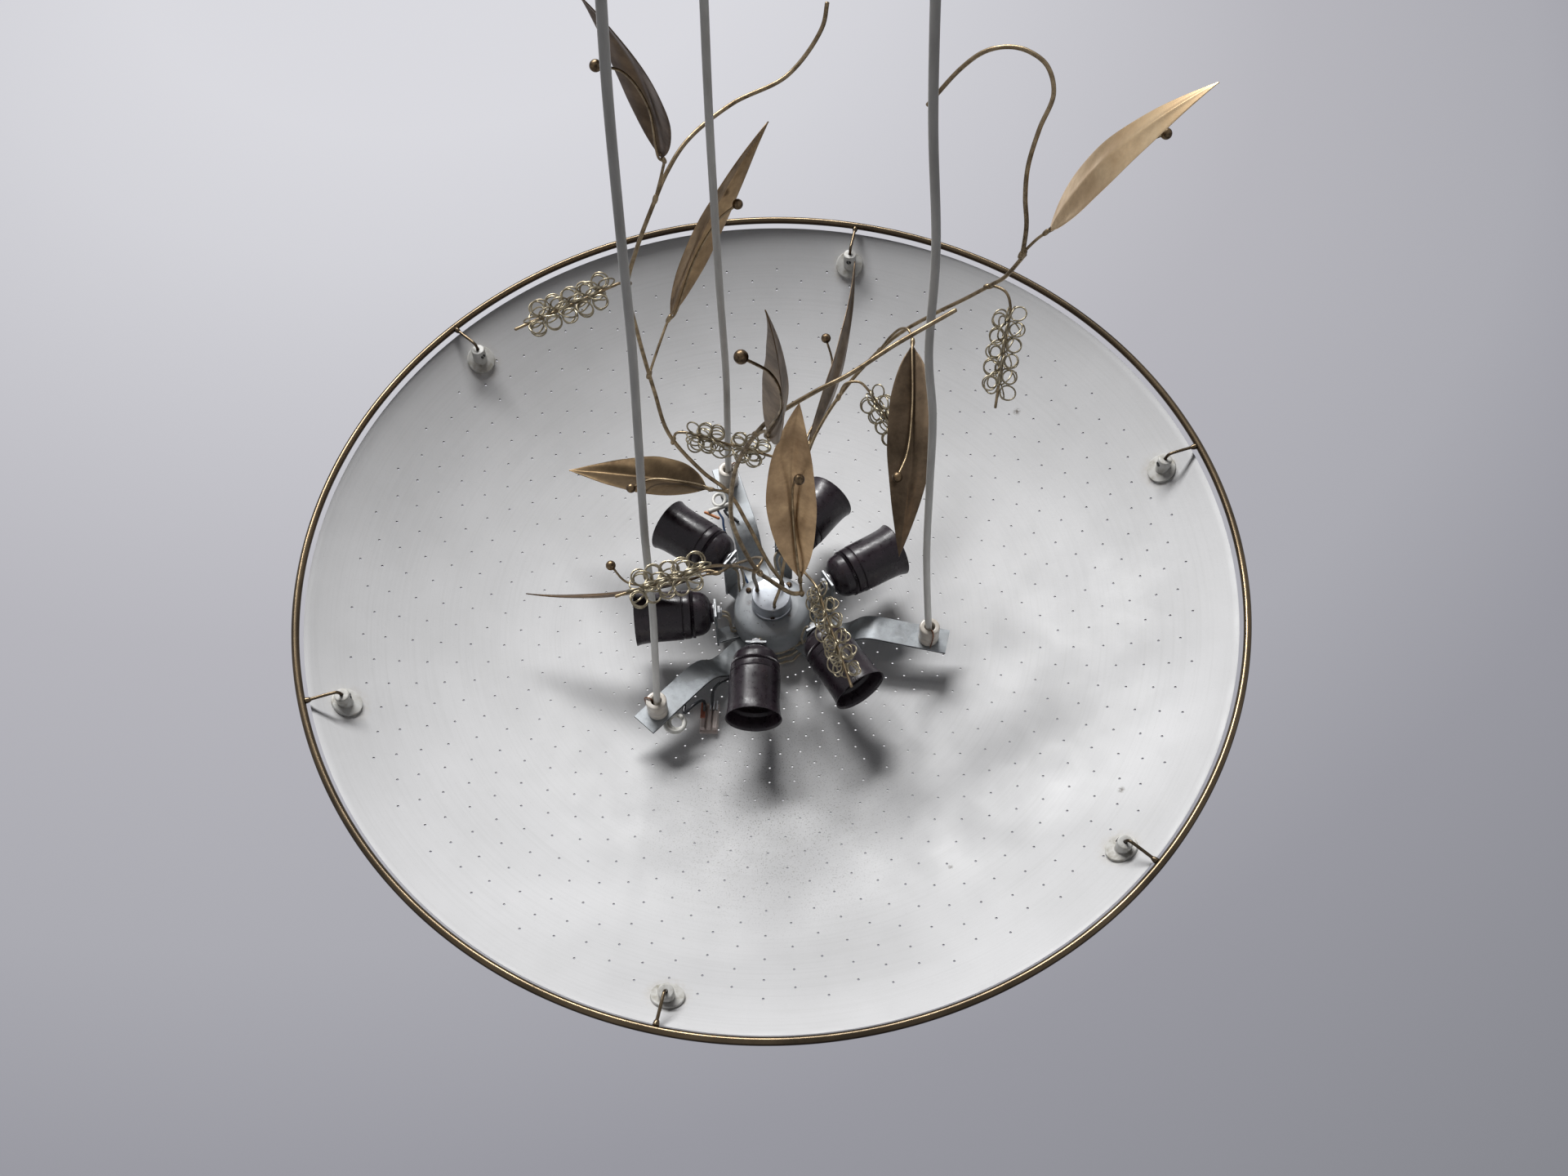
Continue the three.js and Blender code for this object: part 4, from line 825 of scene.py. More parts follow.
finial_outline = fillet(
    [(0, -0.016), (0.0063, -0.016), (0.0119, -0.0112), (0.0140, -0.0048), (0.0140, 0), (0.0053, 0),
     (0.0053, -0.0075), (0, -0.0075)],
    [0, 0.0012, 0.003, 0.003, 0.0008, 0.0003, 0, 0], count=6,
)
FINIAL_TOP = RING_PLANE - BOWL_BELOW_RING - BOWL_DEPTH - BOWL_WALL - 0.0003
finial = surface("turned_finial", lathe(finial_outline, 64, at=(0, 0, FINIAL_TOP)))
fitted(finial, "frame", "hub_paint", cap_metal, "finial")

rusty_brass = patina("rusty screw brass", (0.14, 0.1, 0.065), (0.035, 0.022, 0.015), scale=400)
head_outline = fillet(
    [(0, -0.0008), (0.0024, -0.0008), (0.0024, 0.0005), (0.0015, 0.0011), (0, 0.0013)], 0.0005,
)
for k, (x, y, swing) in enumerate(((-0.0190, 0.0138, 35), (0.0148, 0.0183, 100))):
    at = np.array([x, y, CUP_TOP + 0.0006])
    screw = surface(f"cup_screw_{k + 1}", lathe(head_outline, 28, at=at))
    slotted(screw, "frame", rusty_brass, SLOT, 0.0007, at + [0, 0, 0.0014], (0, 0, 1), around(1, swing))
pinch, pinch_way = np.array([0.0006, -0.0158, CAP_TOP - 0.0122]), (0.04, -1, 0)
pinch_outline = [(0, -0.002), (0.0017, -0.002), (0.0017, 0.0004), (0, 0.0005)]
screw = surface("cap_screw", lathe(pinch_outline, 20, at=pinch, along=pinch_way))
slotted(screw, "frame", rusty_brass, (0.004, 0.0005), 0.0004, pinch - [0, 0.0005, 0], pinch_way, (0.6, 0, 1))

# Star plate
# Thin zinc-plated sheet: a disc with six legs, each bent up at its end into a tab that carries
# a lampholder by a nut and washers.

HOLDER_AXIS, HOLDER_CIRCLE = -0.725, 0.049
PAIR_AZIMUTHS = [285.5, 45.5, 165.5]
SPREAD, SPLAY = 31, 16  # degrees either side of a pair's middle: where the backs are, and how they point
STRAYS = [-2, 0, -1, -10, -6, 2]  # the tabs are bent a little out of true, in degrees
HOLDERS = []  # the back's seat on its tab, its azimuth, and the azimuth that it points to
for i, stray in enumerate(STRAYS):
    pair, way = PAIR_AZIMUTHS[i // 2], 1 if i % 2 else -1
    azimuth = pair + SPREAD * way
    HOLDERS.append((around(HOLDER_CIRCLE, azimuth, HOLDER_AXIS), azimuth, pair + SPLAY * way + stray))
PLATE_LOW, PLATE_THICK = RING_PLANE - 0.0862, 0.0016
tab_top = HOLDER_AXIS + 0.008


def plank(size, at, turned_by, corner=0.0002):
    """A box with its long corners taken off, turned about the vertical by an angle."""
    x, _, z = np.asarray(size) / 2
    section = cut_corners(size[1], -z, z, corner)
    rows = np.array([-x, -x, x, x])
    grow = np.array([0, 1, 1, 0])[:, None]
    out, aside = around(1, turned_by), around(1, turned_by + 90)
    return (
        np.asarray(at) + rows[:, None, None] * out + (section[None, :, 0] * grow)[..., None] * aside
        + (section[None, :, 1] * grow)[..., None] * [0, 0, 1]
    )


def tube_outline(inner, outer, low, high):
    """A plain washer's or sleeve's closed outline."""
    return [(inner, low), (outer, low), (outer, high), (inner, high), (inner, low)]


star = [lathe(tube_outline(0.0053, 0.029, 0, PLATE_THICK), 64, at=(0, 0, PLATE_LOW))]
tab_tall = tab_top - PLATE_LOW
for back, azimuth, points in HOLDERS:
    leg_middle = around(0.03075, azimuth, PLATE_LOW + PLATE_THICK / 2)
    star.append(plank((0.0345, 0.013, PLATE_THICK), leg_middle, azimuth))
    foot = back - around(0.0011, points)
    star.append(plank((PLATE_THICK, 0.017, tab_tall), [foot[0], foot[1], PLATE_LOW + tab_tall / 2], points))
plate = surface("star_plate", *star, crease=30)
fitted(plate, "frame", "galvanised", galvanised, "socket_plate")

bright_zinc = finish("bright zinc", (0.4, 0.41, 0.42), 0.35, metallic=1.0)
uneven(bright_zinc, 300, 0.28, 0.5)
second_finish(plate, bright_zinc,
              lambda middles, normals: (middles[:, 2] > tab_top - 0.0004) & (normals[:, 2] > 0.5))
seat_ring = fillet([(0.0045, -0.0002), (0.0093, -0.0002), (0.0093, 0.0006), (0.0082, 0.0006), (0.0045, 0.0006),
                    (0.0045, -0.0002)], 0.0002)
nut_ring = [(0.0042, -0.0052), (0.0058, -0.0052), (0.0062, -0.0048), (0.0062, -0.0026), (0.0058, -0.0023),
            (0.0042, -0.0023), (0.0042, -0.0052)]
sleeve_ring = tube_outline(0.0034, 0.0040, -0.0064, 0.0010)
for i, (back, _, points) in enumerate(HOLDERS):
    out = around(1, points)
    fixing = surface(f"holder_nut_{i + 1}", lathe(nut_ring, 6, at=back, along=out),
                     lathe(sleeve_ring, 32, at=back, along=out), crease=25)
    fitted(fixing, "frame", "steel", zinc)
    rim = surface(f"holder_rim_{i + 1}", lathe(seat_ring, 48, at=back, along=out))
    fitted(rim, "frame", "steel", bright_zinc)

# Lampholders
# Black-brown pressed resin. A domed back with a knurled band carries the insert that takes the
# lamp's cap; the outer shell slides over the insert, steps out and flares to a thin lip.

resin = finish("pressed resin", (0.018, 0.011, 0.015), 0.33)
dress(
    resin,
    colour=steps(resin, cloudy(resin, 75, detail=6, roughness=0.65), (0.34, (0.014, 0.009, 0.013)),
                 (0.52, (0.022, 0.014, 0.02)), (0.7, (0.045, 0.031, 0.038))),
    roughness=steps(resin, cloudy(resin, 260, detail=4), (0.35, 0.24), (0.65, 0.42)),
    height=cloudy(resin, 500, detail=3), depth=0.00004, strength=0.25,
)
contact_brass = patina("contact brass", (0.5, 0.36, 0.16), (0.2, 0.13, 0.06), scale=200)
white_ware = finish("insert ware", (0.5, 0.47, 0.42), 0.35)
clouded(white_ware, 200, (0.4, 0.37, 0.32), (0.55, 0.52, 0.47))

back_outline = fillet([
    (0, 0.0003), (0.0080, 0.0003), (0.0080, 0.0024), (0.0094, 0.0028), (0.0128, 0.0042), (0.0158, 0.0068),
    (0.0177, 0.0103), (0.0184, 0.0140), (0.0186, 0.0162), (0.0186, 0.0184), (0.0169, 0.0186), (0.0169, 0.0434),
    (0.0136, 0.0434), (0.0136, 0.0255), (0, 0.0255),
], 0.0010, count=4)
shell_outline = fillet([
    (0.0178, 0.0188), (0.0190, 0.0188), (0.0196, 0.0193), (0.0199, 0.0205), (0.0200, 0.0246), (0.0195, 0.0250),
    (0.0195, 0.0255), (0.0204, 0.0259), (0.0205, 0.0350), (0.0206, 0.0480), (0.0209, 0.0555), (0.0215, 0.0605),
    (0.0223, 0.0635), (0.0226, 0.0641), (0.0222, 0.0643), (0.0211, 0.0628), (0.0203, 0.0590), (0.0196, 0.0530),
    (0.0180, 0.0500), (0.0178, 0.0440), (0.0178, 0.0188),
], 0.0007, count=4)
band_outline = [
    (0.0182, 0.0160), (0.0189, 0.0161), (0.0192, 0.0164), (0.0192, 0.0181), (0.0189, 0.0184), (0.0182, 0.0185),
    (0.0182, 0.0160),
]
contact_outline = fillet([(0, 0.0256), (0.0045, 0.0256), (0.0045, 0.0270), (0, 0.0275)], 0.0004)
lip_outline = fillet(tube_outline(0.0137, 0.0168, 0.0434, 0.0446), 0.0004)
KNURLS, KNURL_DEPTH = 108, 0.0004
THREAD_TURNS, THREAD_PITCH, THREAD_RADIUS, THREAD_START = 3.5, 0.0036, 0.0134, 0.0295


def knurled(turn, outline):
    """Ribs on the band's outer face alone."""
    return KNURL_DEPTH * np.cos(KNURLS * turn)[None, :] * (outline[:, :1] > 0.0188)


for i, (back, _, points) in enumerate(HOLDERS):
    out = around(1, points)
    dome = surface(f"domed_back_{i + 1}", lathe(back_outline, 64, at=back, along=out))
    fitted(dome, "frame", "bakelite", resin, f"holder_back_{i + 1}")
    knurl = surface(f"knurled_band_{i + 1}", lathe(band_outline, 432, at=back, along=out, ripple=knurled),
                    crease=60)
    fitted(knurl, "frame", "bakelite", resin)
    shell = surface(f"flared_shell_{i + 1}", lathe(shell_outline, 96, at=back, along=out))
    fitted(shell, f"shell_{i + 1}", "bakelite", resin, f"holder_shell_{i + 1}")
    thread_turn = np.linspace(0, 2 * np.pi * THREAD_TURNS, 140)
    across = np.cross(out, [0, 0, 1])
    thread_path = (
        back + out * (THREAD_START + THREAD_PITCH * thread_turn / (2 * np.pi))[:, None]
        + THREAD_RADIUS * (np.cos(thread_turn)[:, None] * across + np.sin(thread_turn)[:, None] * [0, 0, 1])
    )
    thread = surface(f"lamp_thread_{i + 1}", round_section(thread_path, 0.0007, 8, reference=out),
                     lathe(contact_outline, 24, at=back, along=out))
    fitted(thread, "frame", "dark_brass", contact_brass)
    lip = surface(f"insert_lip_{i + 1}", lathe(lip_outline, 64, at=back, along=out))
    fitted(lip, "frame", "porcelain", white_ware)

# Wires round the hub
# Pairs of cream flex leave each lampholder's back and dive under the cup. A clear terminal
# with black leads lies on the bowl by the left arm, near a loop of spare white cord, and a
# white terminal with an orange and a blue lead lies behind the hub.

FLEX_RADIUS = 0.0010
TUCKED_FROM, TUCKED_TO = 262, 318  # the azimuths that the tucked leads run between

cream_flex = finish("cream flex", (0.5, 0.42, 0.3), 0.4)
clouded(cream_flex, 160, (0.38, 0.3, 0.2), (0.56, 0.5, 0.39))
for i, (back, azimuth, points) in enumerate(HOLDERS):
    grids = []
    out, cross = around(1, points), around(1, points + 90)
    for k, aside in enumerate((-0.0022, 0.0024)):
        start = back + cross * aside
        hub_side = around(0.0290, azimuth + (3 if k else -3), CUP_BOTTOM + 0.0006)
        lead = smooth_path(
            [start + out * -0.0035 - [0, 0, 0.002], start + out * -0.0095 - [0, 0, 0.0045 - 0.001 * k],
             (start + hub_side) / 2 + out * -0.003 + [0, 0, -0.003 + 0.002 * k] + cross * aside * 0.6,
             hub_side + around(0.0065, azimuth, 0.0042 - 0.0016 * k),
             hub_side + around(0.0030, azimuth, 0.0012)], 30,
        )
        grids.append(round_section(lead, FLEX_RADIUS, 10))
    fitted(surface(f"holder_leads_{i + 1}", *grids), "frame", "cord_pvc", cream_flex)
under = []
for k in range(3):
    lead = []
    for a in np.linspace(TUCKED_FROM, TUCKED_TO, 8):
        belly = 0.003 * np.sin((a - TUCKED_FROM) / (TUCKED_TO - TUCKED_FROM) * np.pi) * (k - 0.5)
        sag = 0.0012 * np.sin(a * 0.35 + k)
        lead.append(around(0.0325 + 0.0012 * k + belly, a, CUP_BOTTOM - 0.0012 - 0.0018 * k + sag))
    under.append(round_section(smooth_path(lead, 50), FLEX_RADIUS, 10))
fitted(surface("tucked_leads", *under), "frame", "cord_pvc", cream_flex)

black_flex = uneven(finish("black flex", (0.012, 0.013, 0.016), 0.3), 400, 0.22, 0.4)
blue_flex = uneven(finish("blue flex", (0.02, 0.05, 0.12), 0.35), 400, 0.26, 0.44)
clear_resin = finish("clear terminal", (0.8, 0.69, 0.64), 0.18)
clear_resin.node_tree.nodes["Principled BSDF"].inputs["Transmission Weight"].default_value = 0.25
dress(clear_resin, height=cloudy(clear_resin, 300), depth=0.0001)
red_resin = finish("red lever", (0.3, 0.05, 0.02), 0.3)
clouded(red_resin, 200, (0.32, 0.09, 0.05), (0.52, 0.18, 0.11), span=(0.3, 0.7))
orange_resin = finish("orange lever", (0.55, 0.2, 0.06), 0.35)
clouded(orange_resin, 200, (0.42, 0.13, 0.04), (0.6, 0.25, 0.09), span=(0.3, 0.7))
white_cord = finish("white cord", (0.7, 0.69, 0.65), 0.35)
clouded(white_cord, 120, (0.58, 0.57, 0.52), (0.75, 0.74, 0.7))


def placed(points):
    """Millimetres from the ring's middle as a place in the room."""
    return np.asarray(points, float) / 1000 + [0, 0, RING_PLANE]


def tubes(name, material, radius, sides, *paths, reference=None):
    """A piece of fixed wiring: one or more round runs."""
    grids = (round_section(path, radius, sides, reference=reference) for path in paths)
    return fitted(surface(name, *grids), "frame", "cord_pvc", material)


TERMINAL_TURN = 266  # the way the clear terminal points
UP = (0, 0, 1)
terminal_seat = np.array([-0.0528, -0.0875, bowl_height(0.102)])
toward, beside = around(1, TERMINAL_TURN), around(1, TERMINAL_TURN + 90)
case = [plank((0.026, 0.015, 0.0030), terminal_seat + [0, 0, 0.0016], TERMINAL_TURN, 0.0006)]
for k in (-1, 0, 1):
    rib = terminal_seat + beside * 0.0050 * k + [0, 0, 0.0055]
    case.append(plank((0.022, 0.0036, 0.0050), rib, TERMINAL_TURN, 0.0006))
fitted(surface("clear_terminal", *case, crease=30), "frame", "cord_pvc", clear_resin)
lever_middle = terminal_seat - beside * 0.0052 - toward * 0.004 + [0, 0, 0.0088]
lever = plank((0.013, 0.0040, 0.0022), lever_middle, TERMINAL_TURN)
fitted(surface("red_lever", lever, crease=30), "frame", "cord_pvc", red_resin)
clip_row = terminal_seat - toward * 0.0085 + [0, 0, 0.0088]
clips = [
    plank((0.0080, 0.0012, 0.0030), clip_row + beside * (0.0008 + 0.0026 * k), TERMINAL_TURN)
    for k in range(3)
]
fitted(surface("terminal_clips", *clips, crease=30), "frame", "steel", bright_zinc)

black_leads = [
    [(-71.5, -88, -64), (-71.4, -95.6, -62.5), (-64.2, -90.7, -59.5), (-58.6, -83.5, -66), (-56.4, -79.5, -78),
     (-56.8, -84, -84)],
    [(-28, -36, -83), (-31, -50, -80), (-37.2, -60.8, -73), (-43.9, -65.2, -71), (-48.8, -69.5, -75),
     (-50.2, -76, -81), (-50.6, -80, -84)],
]
tubes("black_leads", black_flex, 0.00125, 12, *(smooth_path(placed(lead), 60) for lead in black_leads))
turn = np.linspace(0, 2 * np.pi * 2.2, 90)
loop = 8.2 - 0.22 * turn
spare = np.stack([-80.2 + loop * np.cos(turn + 0.6) + 0.25 * turn,
                  -103.0 + loop * np.sin(turn + 0.6) + 0.2 * turn,
                  -66.4 - 0.28 * turn + 0.9 * np.sin(turn)], 1)
tubes("spare_cord_left", white_cord, 0.0019, 12, placed(spare), reference=UP)

bar_ends = placed([(-53.0, 94.6, -59.3), (-33.5, 102.6, -59.3)])
tubes("white_terminal", white_cord, 0.0021, 16, np.linspace(*bar_ends, 12), reference=UP)
lever_ends = placed([(-56.4, 95.4, -60.6), (-43.4, 88.2, -60.8)])
tubes("orange_lever", orange_resin, 0.0013, 10, np.linspace(*lever_ends, 12), reference=UP)
blue_lead = placed([(-45.5, 98, -60.5), (-43.2, 93, -60.8), (-40.6, 88.5, -61.6), (-40, 82, -63.5),
                    (-36, 68, -70), (-27, 50, -77), (-18.5, 32, -83)])
tubes("blue_lead", blue_flex, 0.0010, 10, smooth_path(blue_lead, 60))
dark_lead = placed([(-39.5, 96.5, -59.6), (-37.0, 92.2, -60.4), (-32.0, 89.2, -60.3), (-27, 84, -60.3)])
tubes("dark_lead", black_flex, 0.0011, 10, smooth_path(dark_lead, 40))
turn = np.linspace(0.4, 2 * np.pi + 0.9, 50)
spare = np.stack([-43.6 + 5.2 * np.cos(turn), 106.0 + 6.6 * np.sin(turn), -59.6 + 0.35 * turn], 1)
tubes("spare_cord_back", white_cord, 0.0014, 12, placed(spare), reference=UP)

# Sprigs
# Drawn brass wire, soldered into three branching stems that stand in the cap. Twigs carry the
# leaves and catkins, and from each leaf's foot a finer wire runs up its fold and hooks round
# to a small turned ball. Drops of solder hold the joints.

SPRIGS = {  # millimetres from the middle of the cap's top face
    "a": {
        "stem": (1.6, 1.6, [
            (-1, 14, 24), (-18, 40, 46), (-32, 59, 62), (-53, 71, 76), (-78, 90, 102), (-87, 108, 132),
            (-96, 122, 190), (-99, 128, 232), (-90, 137, 261), (-77, 152, 287), (-65, 169, 305),
            (-50, 188, 316), (-18, 216, 323), (22, 236, 330), (47, 256, 354), (51, 265, 369)]),
        "leaves": {
            1: dict(stem=[(-75, 156, 291), (-68, 163, 311)], base=(-67, 161, 327), tip=(-102, 127, 488),
                    faces=(-0.63, -0.72, -0.29), wide=1.1, fold=12, bow=(0.9, -0.6), ball=(-99, 127, 436),
                    along=0.55),
            2: dict(stem=[(-89, 112, 148), (-81, 136, 159)], base=(-72, 154, 170), tip=(7, 219, 303),
                    faces=(0.71, -0.7, -0.08), wide=1.08, fold=10, bow=(0.2, 1), ball=(-17, 186, 254),
                    along=0.5),
            3: dict(stem=[(-33, 60, 63), (-40, 60, 64)], base=(-50, 60, 67), tip=(-169, 117, 16),
                    faces=(-0.33, 0.15, 0.93), wide=1.1, fold=16, bow=(0.9, -0.9), ball=(-112, 72, 53),
                    along=0.38),
        },
        "catkins": {
            1: dict(stem=[(-99, 129, 234), (-104, 124, 240)], start=(-108, 121, 241), end=(-177, 80, 243)),
            2: dict(stem=[(-73, 87, 97), (-72, 89, 103)], start=(-64, 88, 105), end=(8, 67, 97)),
        },
    },
    "b": {
        "stem": (1.6, 1.6, [(-13, -15, 53), (-10, -36, 99), (-7, -47, 110)]),
        "bough": (1.75, 1.35, [
            (26, -37, 63), (17, -39, 66), (8, -38, 74), (0, -41, 90), (-7, -47, 110), (-17, -60, 163),
            (-24, -64, 207), (-23, -69, 246), (-18, -73, 285), (-7, -80, 323), (5, -83, 347),
            (31, -80, 368), (52, -75, 378), (79, -62, 388), (116, -43, 396)]),
        "leaves": {
            4: dict(stem=[(-4, -81, 330), (2, -88, 341)], base=(4, -95, 347), tip=(5, -138, 509),
                    faces=(-0.96, -0.29, -0.07), wide=1.04, fold=28, bow=(0.9, -0.9), ball=(-9, -132, 466),
                    along=0.6),
            5: dict(stem=[(25, -38, 63), (23, -37, 80)], base=(23, -38, 90), tip=(24, 1, 253),
                    faces=(-0.14, -0.96, 0.23), wide=1.1, fold=25, bow=(1.3, 0.7), ball=(23, -25, 199),
                    along=0.5),
            6: dict(stem=[(-8, -49, 121), (-5, -43, 122), (-9, -33, 110), (-18, -20, 85), (-30, -10, 62)],
                    base=(-47, -6, 44), tip=(-200, 2, 6), faces=(-0.11, 0.78, 0.61), wide=0.5,
                    ball=(-127, 4, 44), along=0.42),
        },
        "catkins": {
            3: dict(stem=[(-7, -48, 112), (-14, -58, 133), (-21, -73, 162), (-27, -85, 183)],
                    start=(-40, -97, 202), end=(-102, -123, 209)),
        },
    },
    "c": {
        "stem": (1.3, 1.6, [
            (7, -3, 13), (9, 1, 27), (18, 35, 52), (34, 91, 76), (46, 112, 86), (61, 130, 97),
            (79, 143, 114), (104, 154, 137), (132, 155, 161), (156, 151, 184), (171, 145, 204),
            (180, 138, 221), (191, 131, 253)]),
        "bough": (1.7, 1.6, [
            (189, 131, 250), (188, 130, 284), (185, 135, 306), (185, 142, 328), (191, 153, 351),
            (200, 168, 368), (196, 184, 378), (184, 194, 382), (171, 200, 381), (156, 204, 374),
            (141, 204, 360), (119, 198, 333)]),
        "leaves": {
            7: dict(stem=[(28, 70, 67), (31, 84, 70)], base=(34, 97, 77), tip=(77, 255, 114),
                    faces=(-0.95, 0.29, -0.11), wide=1.03, fold=11, bow=(0.8, 1.2), ball=(50, 183, 102),
                    along=0.42),
            8: dict(stem=[(91, 150, 126), (100, 148, 145), (107, 145, 157), (112, 138, 163)],
                    base=(114, 123, 160), tip=(97, -36, 111), faces=(-0.12, -0.28, 0.95),
                    wide=1.04, bow=(-0.5, 0.4), ball=(97, 14, 143), along=0.5),
            9: dict(stem=[(190, 131, 254), (198, 133, 266)], base=(206, 133, 276), tip=(291, 117, 420),
                    faces=(0.86, 0.09, -0.5), wide=0.93, fold=12, bow=(2.1, 0.6), ball=(271, 131, 365),
                    along=0.55),
        },
        "catkins": {
            4: dict(stem=[(58, 127, 95), (64, 132, 106), (75, 131, 109)], start=(82, 125, 106),
                    end=(118, 72, 78)),
            5: dict(stem=[(170, 145, 203), (176, 143, 205), (183, 137, 205)], start=(186, 129, 199),
                    end=(172, 60, 164)),
            6: dict(stem=[(14, 20, 42), (20, 8, 40), (27, -6, 43)], start=(36, -25, 51),
                    end=(60, -111, 46)),
        },
    },
}
LEAF_WIDTH, LEAF_THICK, LEAF_FOLD, LEAF_BOW = 0.037, 0.0008, 20, 0.010
TWIG_RADIUS, STAMEN_RADIUS, STAMEN_LIFT, BALL_RADIUS = 0.0011, 0.0009, 0.0032, 0.004


def in_room(points):
    """Millimetres from the middle of the cap's top face as a place in the room."""
    return np.asarray(points, float) / 1000 + [0, 0, CAP_TOP]


def leaf_axes(leaf):
    """A leaf's root and length, and its three directions: along, towards its hollow side,
    and across."""
    root, tip = in_room(leaf["base"]), in_room(leaf["tip"])
    length = np.linalg.norm(tip - root)
    along = (tip - root) / length
    up = np.array(leaf["faces"], float)
    up -= along * (up @ along)
    up /= np.linalg.norm(up)
    return root, length, along, up, np.cross(up, along)


def on_fold(leaf, share, height):
    """Points of a leaf's bowed fold: the bow is a parabola, nothing at either end."""
    root, length, along, up, across = leaf_axes(leaf)
    share, height = np.broadcast_arrays(np.asarray(share, float), height)
    share, height = share[..., None], height[..., None]
    away, aside = leaf.get("bow", (1, 0))
    bow = LEAF_BOW * 4 * share * (1 - share)
    return root + along * length * share + up * (height - away * bow) + across * aside * bow


def leaf_sheet(leaf, number):
    """A folded leaf: rows along it, columns round its section. Each half rises from the fold
    as a hyperbola, and the edge's distance follows a sine that is pulled towards the root."""
    _, _, _, up, across = leaf_axes(leaf)
    t = np.concatenate([np.linspace(0, 0.94, 48), 0.94 + 0.06 * np.linspace(0, 1, 10)[1:]])[:, None]
    fold = np.radians(leaf.get("fold", LEAF_FOLD))
    full = LEAF_WIDTH * leaf.get("wide", 1) / 2 * np.cos(fold)
    half = np.maximum(0.0016 * (1 - 0.7 * t), full * np.maximum(0, np.sin(np.pi * t**0.78)) ** 0.9)
    half = half * (1 + 0.012 * np.sin(23 * t + number) * np.sin(np.pi * t))
    s = np.linspace(-1, 1, 25)[None, :]
    aside = half * s
    soft = 0.0011
    rise = np.tan(fold) * (np.sqrt(aside**2 + soft**2) - soft)
    rise = rise + 0.0009 * np.sin(np.pi * np.abs(s)) * np.sin(np.pi * t)
    dents = 0.00035 * np.sin(11 * t + 3 * s + 1.7 * number) * np.sin(5 * t - 4 * s * np.sign(s) + number)
    rise = rise + dents * np.sin(np.pi * t)
    top = LEAF_THICK * np.where(np.abs(s) == 1, 0.7, 1.0) + rise
    low = LEAF_THICK * np.where(np.abs(s) == 1, 0.3, 0.0) + rise
    aside = np.concatenate([aside, aside[:, ::-1]], 1)
    height = np.concatenate([top, low[:, ::-1]], 1)
    grid = on_fold(leaf, t, height) + across * aside[..., None]
    ends = grid.mean(1, keepdims=True)
    return np.concatenate([np.repeat(ends[:1], grid.shape[1], 1), grid, np.repeat(ends[-1:], grid.shape[1], 1)])


def nearest(lines, point):
    """The closest of a set of paths' own points to a point."""
    spots = np.concatenate(lines)
    return spots[np.argmin(np.linalg.norm(spots - point, axis=1))]


def solder(at, along, radius, long):
    """A drop of solder round a rod: a long egg about the rod's direction."""
    turn = np.linspace(-np.pi / 2, np.pi / 2, 11)
    egg = np.stack([radius * np.cos(turn) ** 0.8, long / 2 * np.sin(turn)], 1)
    return lathe(egg, 16, at=at, along=along)


def ball(at, along, radius):
    """A turned ball with a small flat and a neck where its wire enters."""
    turn = np.linspace(-np.pi / 2, np.pi / 2, 25)
    shape = np.stack([radius * np.cos(turn), radius * np.sin(turn)], 1)
    shape[:, 0] = np.maximum(shape[:, 0], np.where(turn < -1.2, 0.0013, 0))
    shape[0, 0] = 0
    return lathe(shape, 32, at=at, along=along)


stem_brass = patina("stem brass", (0.4, 0.31, 0.195), (0.13, 0.095, 0.058), low=0.38, high=0.66, scale=120)
ball_brass = patina("ball brass", (0.22, 0.155, 0.09), (0.06, 0.042, 0.028), scale=300)
coil_brass = patina("coil brass", (0.52, 0.46, 0.33), (0.19, 0.16, 0.11), low=0.34, high=0.64, scale=180)

# Each leaf's light and dark brass is set by how lit it looks: painted light, shade and reflection over the
# brass's own tone. Leaf 9 is painted brightest, as a reflection of the pale floor.
LEAF_TONES_AND_LIGHT = {
    1: ((0.17, 0.11, 0.06), (0.05, 0.03, 0.016)), 2: ((0.46, 0.32, 0.18), (0.16, 0.105, 0.058)),
    3: ((0.14, 0.098, 0.055), (0.042, 0.027, 0.015)), 4: ((0.27, 0.185, 0.105), (0.07, 0.043, 0.024)),
    5: ((0.62, 0.43, 0.25), (0.28, 0.185, 0.105)), 6: ((0.2, 0.13, 0.07), (0.05, 0.03, 0.017)),
    7: ((0.21, 0.15, 0.095), (0.06, 0.042, 0.027)), 8: ((0.16, 0.115, 0.075), (0.042, 0.03, 0.02)),
    9: ((1.0, 0.77, 0.48), (0.6, 0.42, 0.24)),
}

CURLS, CURL_RADIUS, CURL_WIRE = 43, 0.0054, 0.00064
WHORLS = 5  # times that the curls go round their twig
BUNDLES = 4 * WHORLS  # the curls crowd together in so many bundles
CURL_CIRCLE = 0.0073  # the curls' middles from the twig

